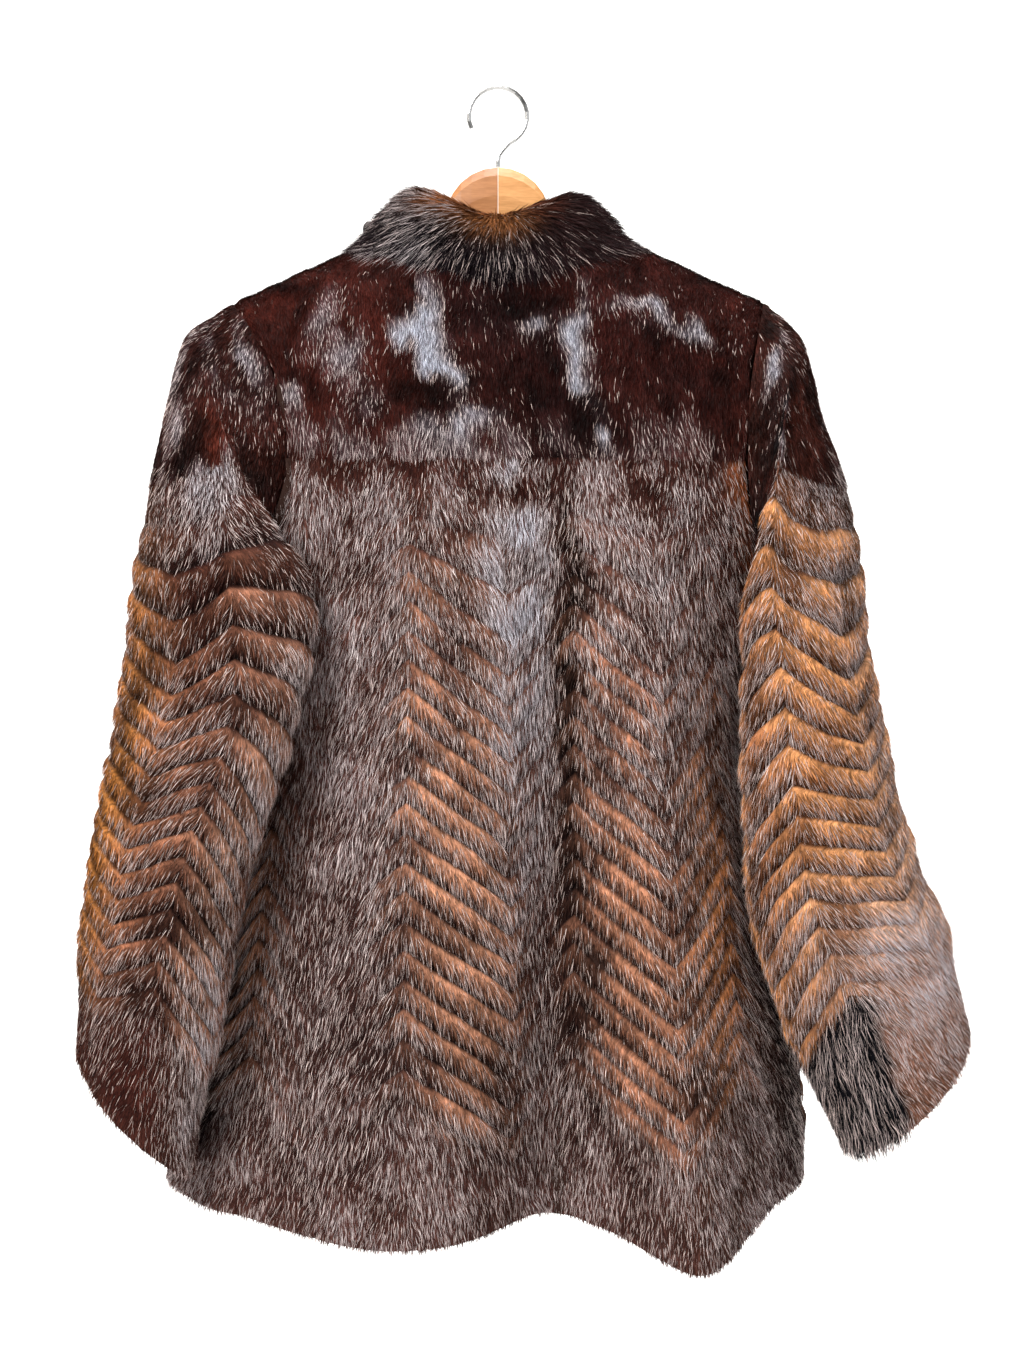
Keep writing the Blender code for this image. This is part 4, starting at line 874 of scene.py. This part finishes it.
sleeveLooks = {
    "left": dict(
        plain, seed=5, hairs=500000, ribs=18, period=18, start=2.0,
        relief=(0.95, ((4.6, 9, 1.3, 9, 1.25), (17.4, 10, 1.6, 12, 0.9), (3, 19.5, 12, 1.8, 0.1))),
        colour=("4c2b22", ((17.2, 10, 1.6, 12, 0.9, "553418"), (2.4, 2, 3.5, 4, 0.9, "2c0f0b"),
                           (4.6, 12, 1.4, 7, 0.5, "513529"), (3.2, 14, 2.2, 4, 0.8, "2a1511"),
                           (3, 19.5, 12, 1.9, 0.95, "3a1a14"), (5.8, 17.5, 1.4, 3, 0.8, "54382f"))),
        crest=("96624a", ((17.1, 11, 1.7, 12, 0.95, "bd7a3a"), (4.6, 12, 1.4, 9, 0.7, "a9806a"))),
        glow=(0.45, ((17.2, 10, 1.7, 12, 1.0), (2.4, 11, 1.2, 6, 0.75), (4.6, 11, 1.4, 8, 0.7), (3, 1, 4, 2.8, 0.1),
                     (3, 16, 3, 3, 0.4))),
        silver=(0.20, ((17.1, 11, 1.4, 12, 0.03), (3, 2.8, 3.5, 2.6, 0.04), (2.8, 0.7, 0.9, 0.8, 0.7),
                       (3, 20, 12, 2, 0.04), (5.2, 9, 0.8, 9, 0.32), (3, 14, 2, 4, 0.05), (5.8, 17, 1.4, 3, 0.42))),
    ),
    "right": dict(
        plain, seed=6, hairs=500000, ribs=16, period=18, start=1.3,
        relief=(0.95, ((5.7, 8, 1.3, 9, 1.1), (1.5, 15.2, 2.6, 2.4, 0.25))),
        # the zone at station 6.8, rib 1 is painted shadow between the sleeve and the back
        colour=("633b28", ((2.6, 7, 1.5, 7, 0.9, "875030"), (5.7, 8, 1.2, 9, 0.9, "43251b"),
                           (4.8, 13, 1.1, 2.6, 0.8, "4c281c"), (0.2, 12, 1.2, 5, 0.8, "94705d"),
                           (1.5, 15.0, 2.6, 2.6, 0.9, "b58672"), (2.0, -0.2, 6, 0.9, 0.8, "36170f"),
                           (6.8, 1.0, 1.0, 3.0, 0.9, "0f0706"))),
        crest=("d59460", ((0.0, 9, 1.0, 7, 0.7, "cb9c7c"), (5.7, 8, 1.3, 9, 0.7, "915a40"),
                          (1.5, 14.5, 2.6, 2.6, 0.8, "d4ae96"))),
        glow=(0.85, ((2.6, 6, 2.4, 7, 1.1), (1.5, 14.5, 2.6, 2.2, 0.5))),
        silver=(0.20, ((0.0, 9, 1.1, 7, 0.34), (5.7, 8, 1.3, 9, 0.18), (1.5, 14.8, 2.6, 2.6, 0.50),
                       (1.6, 2.0, 1.2, 1.6, 0.30), (6.8, 1.0, 1.0, 3.0, 0.02))),
        # the black inset of the cuff, between two ribs and two columns
        inset=dict(top=15.5, low=18.5, first=3.3, widens=0.7, last=8.3, hex="0e0d12", silver=0.14, shag=1.5,
                   rise=0.0015),
    ),
}
capPlain = dict(
    # painted light, as on the yoke: strong ripple light and shade in the colour, a painted bluish sheen, and glint
    # patches standing for highlights
    plain, period=18, hairs=1000000, hairLength=0.0058, lean=0.0, patchy=0.9, plumb=0.85, drift=0.6, mottleAndRippleLight=2.4,
    sheen=0.8, sheenHex="8d8c98", relief=(0.0, ()), crest=("7a5648", ()), glow=(0.0, ()),
)
capLooks = {
    "left": dict(capPlain, seed=7, ribs=18,
                 # the zone at station 4.6 is painted shadow by the armhole
                 colour=("34150f", ((2.0, 0, 6, 1.5, 0.5, "3f1c16"), (3.1, -1.3, 0.9, 1.3, 0.9, "552318"),
                                    (4.6, -1.6, 0.6, 2.2, 0.9, "110806"), (1.0, -1.5, 1.2, 2.0, 0.5, "1d0e0e"))),
                 silver=(0.03, ((2.2, -4.8, 0.8, 0.8, 0.36), (2.9, -0.1, 0.8, 0.5, 0.5), (3.1, -1.4, 0.8, 1.0, 0.02),
                                (0.6, -2.6, 1.0, 1.6, 0.16), (1.6, -0.2, 1.2, 0.8, 0.22)))),
    "right": dict(capPlain, seed=8, ribs=16,
                  # painted light: the two black zones are painted shadow between the sleeve and the back, and the
                  # silver zone at station 3.0, rib -4.8 is a painted highlight along the ridge by the armhole
                  colour=("391a14", ((3.2, -3.5, 1.8, 0.6, 0.95, "090404"), (5.8, -2.2, 1.1, 3.2, 0.95, "090404"),
                                     (1.6, -1.6, 1.0, 1.2, 0.6, "4b2118"))),
                  silver=(0.02, ((3.0, -4.8, 1.5, 0.35, 0.7), (5.8, -2.2, 1.2, 3.0, 0.0), (16.5, -1.5, 1.0, 3.0, 0.22),
                                 (3.4, -2.2, 0.5, 1.6, 0.4)))),
}


def ribbedRows(ribs):
    # places in ribs from the upper seam to the hem or cuff
    step = fur["ribRows"]
    return np.arange(int((ribs + body["bandRows"]) * step) + 1) / step


def smoothRows(span, meshRows):
    # places of a smooth part above a seam, as ribs below 0
    return -span * (1 - np.linspace(0, 1, meshRows + 1))


def makeBack():
    steps, meshRows = fur["ribColumns"], 44
    ends = [edge(hand, "back", np.array([body["yokeZ"]]))[0][0] for hand in sides]
    xYoke = spread([ends[0], *(line.xYoke for line in backLines[1:-1]), ends[1]], steps)
    xTop = spread([line.xShoulder for line in backLines], steps)
    column = np.linspace(0, len(backLines) - 1, (len(backLines) - 1) * steps + 1)
    upper = upperPart("back", xTop, xYoke, "left", "right", meshRows)
    above = smoothRows(body["yokeRows"], meshRows)
    yoke = makePelt("yoke_pelt", upper, above, column, 0 * column, yokeLook, seed=2)
    dressPelt("yoke", yoke, yokeLook, "back_yoke")
    rows = ribbedRows(body["ribs"])
    xHem = backX(np.full((1, len(column)), body["hemZ"]))[0]
    z = ribbedHeights(column, hemHeights("back", xHem), rows)
    grid = settle(bodyPoint("back", backX(z), z), "back", "left", "right")
    panel = makePelt("back_pelt", grid, rows, column, chevron(column), backLook, seed=1)
    dressPelt("back", panel, backLook, "back_panel")


def makeFront(hand):
    sign = sides[hand]
    count, meshRows = body["frontColumns"], 40
    column = np.linspace(0, count, count * fur["ribColumns"] + 1)
    part = column / count
    xTop = sign * np.interp(column, [0, count - 1, count], [body["shoulderX"], body["neckX"], body["frontTopX"]])
    sideEdge = edge(hand, "front", np.array([body["yokeZ"]]))[0][0]
    xYoke = sideEdge + (sign * frontEdgeX(body["yokeZ"]) - sideEdge) * part
    upper = upperPart("front", xTop, xYoke, hand, None, meshRows)
    sideHem = abs(sideX(hand, body["hemZ"]))
    xHem = sign * (sideHem + (body["frontGapX"] - sideHem) * part)
    rows = ribbedRows(body["ribs"])
    z = ribbedHeights(column, hemHeights("front", xHem), rows)
    sideEdges = np.stack([softEdgeX(hand, "front", line) for line in z.T], 1)
    angleSide = np.arcsin(np.clip(partAcross(sideEdges, z), -1, 1))
    angleFront = np.arcsin(np.clip(partAcross(sign * frontEdgeX(z), z), -1, 1))
    turn = angleSide + (angleFront - angleSide) * part
    x = torso(z, "centreX") + torso(z, "halfWidth") * np.sin(turn)
    lower = settle(bodyPoint("front", x, z), "front", hand, None)
    grid = np.vstack([upper[:-1], lower])
    ribRow = np.concatenate([smoothRows(body["yokeRows"], meshRows)[:-1], rows])
    look = dict(frontLook, seed=20 + (sign > 0))
    pelt = makePelt(f"front_{hand}_pelt", grid, ribRow, column, chevron(column), look, flip=sign, seed=9 + sign)
    dressPelt(f"front_{hand}", pelt, look, f"front_{hand}")


def makeSleeve(hand):
    steps, meshRows, sign = sleeve["columns"], 40, sides[hand]
    rings, knots = sleeveColumns(hand, steps)
    station = np.arange(body["stations"] * steps) / steps
    falls = np.interp(station, *zip(*sleeve["lines"][hand]), period=body["stations"])
    seam = roundTrip(capSeam(hand), steps)
    total = knots[-1]
    cap = sleevePoints(rings, knots, np.linspace(0, 1, meshRows + 1)[:, None] * seam[None])
    above, look = smoothRows(sleeve["capRows"], meshRows), capLooks[hand]
    pelt = makePelt(f"cap_{hand}_pelt", cap, above, station, 0 * station, look, True, -sign, 12 + sign)
    dressPelt(f"cap_{hand}", pelt, look, f"sleeve_cap_{hand}")

    ribs = sleeve["ribs"][hand]
    rows = ribbedRows(ribs)
    pitch = (total - seam.max() - sleeve["ribDrop"] - sleeve["cuffBand"]) / ribs
    even = np.clip(rows / sleeve["capRibs"], 0, 1)[:, None]  # the cap's slanted seam evens out down the ribs
    length = seam.max() - (seam.max() - seam) * (1 - even) + np.minimum(rows, ribs)[:, None] * pitch
    length = length + sleeve["ribDrop"] * smooth(rows / body["ribsToFull"])[:, None] * falls
    past = share(rows, ribs, ribs + body["bandRows"])[:, None]
    length = length + (total - length) * past
    look, slotName = sleeveLooks[hand], "fur_gold" if hand == "right" else "fur_brown"
    grid = sleevePoints(rings, knots, length)
    pelt = makePelt(f"sleeve_{hand}_pelt", grid, rows, station, falls, look, True, -sign, 15 + sign)
    dressPelt(f"sleeve_{hand}", pelt, look, f"sleeve_{hand}")


# collar: two walls of pelt that meet in a soft rim, with long hair that runs out from a whorl

Rim = namedtuple("Rim", "at x y z bulge")
collarRim = (
    Rim(-1.00, -0.096, 0.040, -0.094, 0.000),
    Rim(-0.70, -0.086, 0.010, -0.084, -0.004),
    Rim(-0.38, -0.060, -0.030, -0.077, 0.004),
    Rim(0.00, 0.000, -0.052, -0.100, 0.008),
    Rim(0.36, 0.058, -0.032, -0.080, 0.003),
    Rim(0.70, 0.083, 0.010, -0.090, -0.006),
    Rim(1.00, 0.092, 0.040, -0.098, 0.000),
)
collar = dict(
    thick=0.018, inset=0.0020,  # the pelt lies this far under the solid
    profile=((0.0, 0.0), (0.0, 0.25), (0.0, 0.55), (0.04, 0.80), (0.22, 0.95), (0.50, 1.0),
             (0.78, 0.95), (0.96, 0.80), (1.0, 0.50), (1.0, 0.0)),  # part of its thickness, and of its height
    across=120, up=44, patternStep=0.0027,
    broad=0.030, fine=0.010, swell=0.0012, grain=0.0008,  # sizes and heights of the unevenness
    whorl=(0.0015, -0.060, -0.090), whorlDrop=0.020,  # the hair bends down away from the whorl
)
collarLook = dict(  # its zones are x, z, width, height and value or share and colour
    plain, seed=31, hairs=1100000, hairLength=0.0120, hairWidth=0.0008, lift=0.26, stray=0.20,
    # the zone at x 0, z -0.135 is painted shadow at the collar's foot
    colour=("1c1013", ((-0.050, -0.115, 0.040, 0.045, 0.85, "0e0d12"), (0.050, -0.105, 0.045, 0.045, 0.85, "220f0e"),
                       (0.000, -0.135, 0.030, 0.022, 0.8, "0f0a0f"), (-0.002, -0.106, 0.018, 0.010, 0.98, "a96d42"),
                       (-0.030, -0.091, 0.020, 0.009, 0.9, "945c38"), (0.026, -0.094, 0.014, 0.008, 0.5, "6b3a28"))),
    silver=(0.10, ((-0.050, -0.115, 0.045, 0.035, 0.30), (0.050, -0.105, 0.045, 0.050, 0.02),
                   (0.000, -0.135, 0.025, 0.025, 0.16), (-0.004, -0.104, 0.020, 0.012, 0.05))),
)


def neckEdge():
    # the neck's seam, from the left front round the back to the right front
    steps = fur["ribColumns"]
    back = spread([line.xShoulder for line in backLines], steps)
    back = back[np.abs(back) < body["neckX"] + 1e-4]
    front = np.linspace(body["neckX"], body["frontTopX"], steps + 1)[1:]
    runs = (("front", -front[::-1]), ("back", back), ("front", front))
    return np.vstack([bodyPoint(side, x, shoulderZ(x) - neckDrop(x)) for side, x in runs])


def makeCollar():
    at = np.linspace(-1, 1, collar["across"] + 1)
    columns = [row.at for row in collarRim]
    rim = through(columns, [(row.x, row.y, row.z) for row in collarRim], at)
    bulge = through(columns, [row.bulge for row in collarRim], at)[:, None]
    corners = neckEdge()
    places = runLength(corners)
    places = 2 * places / places[-1] - 1
    base = np.stack([np.interp(at, places, corners[:, i]) for i in range(3)], 1)
    along = np.gradient(through(places, corners, at) + rim, axis=0)
    inwards = unit(np.stack([-along[:, 1], along[:, 0], np.zeros(len(at))], 1))
    steps = np.linspace(0, len(collar["profile"]) - 1, collar["up"])
    shape = through(np.arange(len(collar["profile"])), collar["profile"], steps, True)
    rows = []
    for partIn, partUp in shape:
        deep = collar["thick"] * partIn - bulge * math.sin(math.pi * partUp)
        rows.append(base + (rim - base) * partUp + inwards * deep)
    grid = np.stack(rows)
    normal = -gridNormals(grid, False)[0]
    broad, fine = noiseField(grid, collar["broad"], 41), noiseField(grid, collar["fine"], 42)
    grid = grid + normal * (collar["swell"] * broad + collar["grain"] * fine - collar["inset"])[..., None]

    x, z = grid[..., 0], grid[..., 2]
    colour = zoneColour(x, z, *collarLook["colour"], None) * (1 + 0.3 * broad + 0.2 * fine)[..., None]
    outside = np.clip(1 - shape[:, 0], 0, 1)[:, None]
    silver = np.clip(zoneSum(x, z, *collarLook["silver"], None) * (1 + broad), 0, 1) * (0.4 + 0.6 * outside)
    spoke = grid - np.array(collar["whorl"])
    spoke[..., 1] *= 0.3
    spoke[..., 2] -= collar["whorlDrop"]
    spoke = unit(spoke - normal * (spoke * normal).sum(-1, keepdims=True))
    inside = np.clip(2 * (1 - outside) - 0.6, 0, 1)[..., None]
    comb = unit(spoke * (1 - inside) + np.array([0, 0, -1.0]) * inside)
    thick = np.where(shape[:, :1] < 0.6, 1.0, 0.35) * np.ones(silver.shape)
    bm = bmesh.new()
    layers, uv = addLayers(bm)
    data = dict(pelt=withAlpha(colour), silver=silver, comb=comb, shag=1 + 0.3 * broad, thick=thick)
    out = addPoints(bm, layers, grid, data)
    for r, here in enumerate(out):
        after = out[(r + 1) % len(out)]
        for c in range(len(at) - 1):
            face = bm.faces.new((here[c], here[c + 1], after[c + 1], after[c]))
            face.smooth = True
            for loop, (row, col) in zip(face.loops, ((r, c), (r, c + 1), (r + 1, c + 1), (r + 1, c))):
                loop[uv].uv = (col * collar["patternStep"], row * collar["patternStep"])
    for c in (0, -1):
        bm.faces.new([row[c] for row in out])
    bmesh.ops.recalc_face_normals(bm, faces=bm.faces)
    piece = addPiece("collar_pelt", bm)
    growCoat("collar", piece, collarLook)
    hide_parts("collar")


# the wooden hanger, its wire hook and the collar's button keep their own solids

def makeBeech(name, light, dark, shift):
    # lacquered beech: grain 70 mm long and 7 mm wide along the arm, with flecks of 6 by 1 mm
    material, tree, shader = newMaterial(name)
    place = addNode(tree, "ShaderNodeTexCoord").outputs["Object"]
    turn = addNode(tree, "ShaderNodeMapping", Vector=place, Location=(shift, 0, 0), Scale=(7, 60, 90))
    grain = addNode(tree, "ShaderNodeTexNoise", Vector=turn.outputs[0], Scale=2.0, Detail=5.0, Roughness=0.6)
    fleck = addNode(tree, "ShaderNodeMapping", Vector=place, Scale=(160, 700, 900))
    flecks = addNode(tree, "ShaderNodeTexNoise", Vector=fleck.outputs[0], Scale=1.0, Detail=1.0)
    both = addNode(tree, "ShaderNodeMath", dict(operation="MULTIPLY_ADD"), i0=flecks.outputs["Fac"], i1=0.35,
                   i2=grain.outputs["Fac"])
    ramp = addNode(tree, "ShaderNodeMapRange", Value=both.outputs[0], From_Min=0.42, From_Max=0.86)
    colour = addNode(tree, "ShaderNodeMix", dict(data_type="RGBA"), i0=ramp.outputs[0], i6=paint(dark),
                     i7=paint(light))
    bump = addNode(tree, "ShaderNodeBump", Strength=0.15, Distance=0.0004, Height=both.outputs[0])
    setSockets(shader, Base_Color=colour.outputs[2], Normal=bump.outputs[0], Roughness=0.38, Coat_Weight=0.3,
               Coat_Roughness=0.25)
    return material


def makeWire():
    # bright plated wire, rubbed a little dull by rails
    material, tree, shader = newMaterial("plated_wire")
    place = addNode(tree, "ShaderNodeTexCoord").outputs["Object"]
    rub = addNode(tree, "ShaderNodeTexNoise", Vector=place, Scale=900.0, Detail=3.0)  # about 1 mm
    rough = addNode(tree, "ShaderNodeMapRange", Value=rub.outputs["Fac"], To_Min=0.16, To_Max=0.34)
    setSockets(shader, Base_Color=paint("a9a8a6"), Metallic=1.0, Roughness=rough.outputs[0])
    return material


def makeButtonCover():
    # black clipped mink over a button: matt, with a fine nap of about 0.7 mm
    material, tree, shader = newMaterial("clipped_mink")
    place = addNode(tree, "ShaderNodeTexCoord").outputs["Object"]
    nap = addNode(tree, "ShaderNodeTexNoise", Vector=place, Scale=1400.0, Detail=2.0)
    colour = addNode(tree, "ShaderNodeMix", dict(data_type="RGBA"), i0=nap.outputs["Fac"], i6=paint("0a0809"),
                     i7=paint("37302f"))
    bump = addNode(tree, "ShaderNodeBump", Strength=0.8, Distance=0.0006, Height=nap.outputs["Fac"])
    setSockets(shader, Base_Color=colour.outputs[2], Normal=bump.outputs[0], Roughness=0.6)
    return material


def finishSolids():
    looks = {"hanger_left": makeBeech("beech_left", "b27a4c", "8f5b32", 0.0),
             "hanger_right": makeBeech("beech_right", "d49c63", "ae7640", 3.7), "hanger_hook": makeWire(),
             "collar_button": makeButtonCover()}
    for name, material in looks.items():
        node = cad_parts[name]
        for slot in node.material_slots:
            slot.material = material
        print(name, len(node.data.polygons), "faces")


makeBack()
print("back ready")
for hand in sides:
    makeFront(hand)
    makeSleeve(hand)
print("fronts and sleeves ready")
makeCollar()
bpy.data.objects.remove(blade)
print("collar ready")
finishSolids()
print("hanger and button ready")


# stage, light and camera

floor = dict(level=-1.25, near=-3.0, far=2.2, bend=0.9, top=3.2, half=4.5, steps=12, hex="f4f3f1", glow=0.88)
lights = dict(
    key=dict(place=(-1.5, -2.0, 1.6), size=(1.6, 1.2), power=155, colour=(1.0, 0.97, 0.94)),
    fill=dict(place=(2.2, -2.2, 0.4), size=(1.8, 1.8), power=14, colour=(0.93, 0.96, 1.0)),
    top=dict(place=(0.2, -0.3, 1.9), size=(1.6, 1.0), power=65, colour=(1.0, 1.0, 1.0)),
)
studio = dict(aim=(0, 0, -0.4), sky=(0.95, 0.97, 1.0, 1), skyPower=0.14)
view = dict(place=(0.0104, -1.7, -0.4417), lens=60.2, film=36.0)  # straight behind the coat, 0.745 mm to a pixel


def makeStage():
    # a pale floor that bends up into a wall
    material, tree, shader = newMaterial("pale_floor")
    setSockets(shader, Base_Color=paint(floor["hex"]), Roughness=0.8, Emission_Color=(1, 1, 1, 1),
               Emission_Strength=floor["glow"])
    level, far, bend = floor["level"], floor["far"], floor["bend"]
    line = [(floor["near"], level), (far, level)]
    for angle in np.linspace(0, math.pi / 2, floor["steps"])[1:]:
        line.append((far + bend * math.sin(angle), level + bend - bend * math.cos(angle)))
    line.append((far + bend, floor["top"]))
    bm = bmesh.new()
    rows = [[bm.verts.new((x, y, z)) for x in (-floor["half"], floor["half"])] for y, z in line]
    for a, b in zip(rows, rows[1:]):
        bm.faces.new((a[0], a[1], b[1], b[0])).smooth = True
    piece = addPiece("floor", bm)
    piece.data.materials.append(material)


def addLight(name, look):
    light = bpy.data.lights.new(name, "AREA")
    light.shape, (light.size, light.size_y) = "RECTANGLE", look["size"]
    light.energy, light.color = look["power"], look["colour"]
    lamp = addObject(name, light)
    lamp.location = look["place"]
    lamp.rotation_euler = (Vector(studio["aim"]) - Vector(look["place"])).to_track_quat("-Z", "Y").to_euler()


makeStage()
for name, look in lights.items():
    addLight(name, look)
scene = bpy.context.scene
scene.world = bpy.data.worlds.new("studio")
scene.world.use_nodes = True
setSockets(scene.world.node_tree.nodes["Background"], Color=studio["sky"], Strength=studio["skyPower"])
scene.view_settings.view_transform = "Standard"
lens = bpy.data.cameras.new("camera")
lens.lens, lens.sensor_width, lens.sensor_fit = view["lens"], view["film"], "AUTO"
camera = addObject("camera", lens)
camera.location = view["place"]
camera.rotation_euler = (math.pi / 2, 0, 0)
scene.camera = camera
print("stage, light and camera ready")
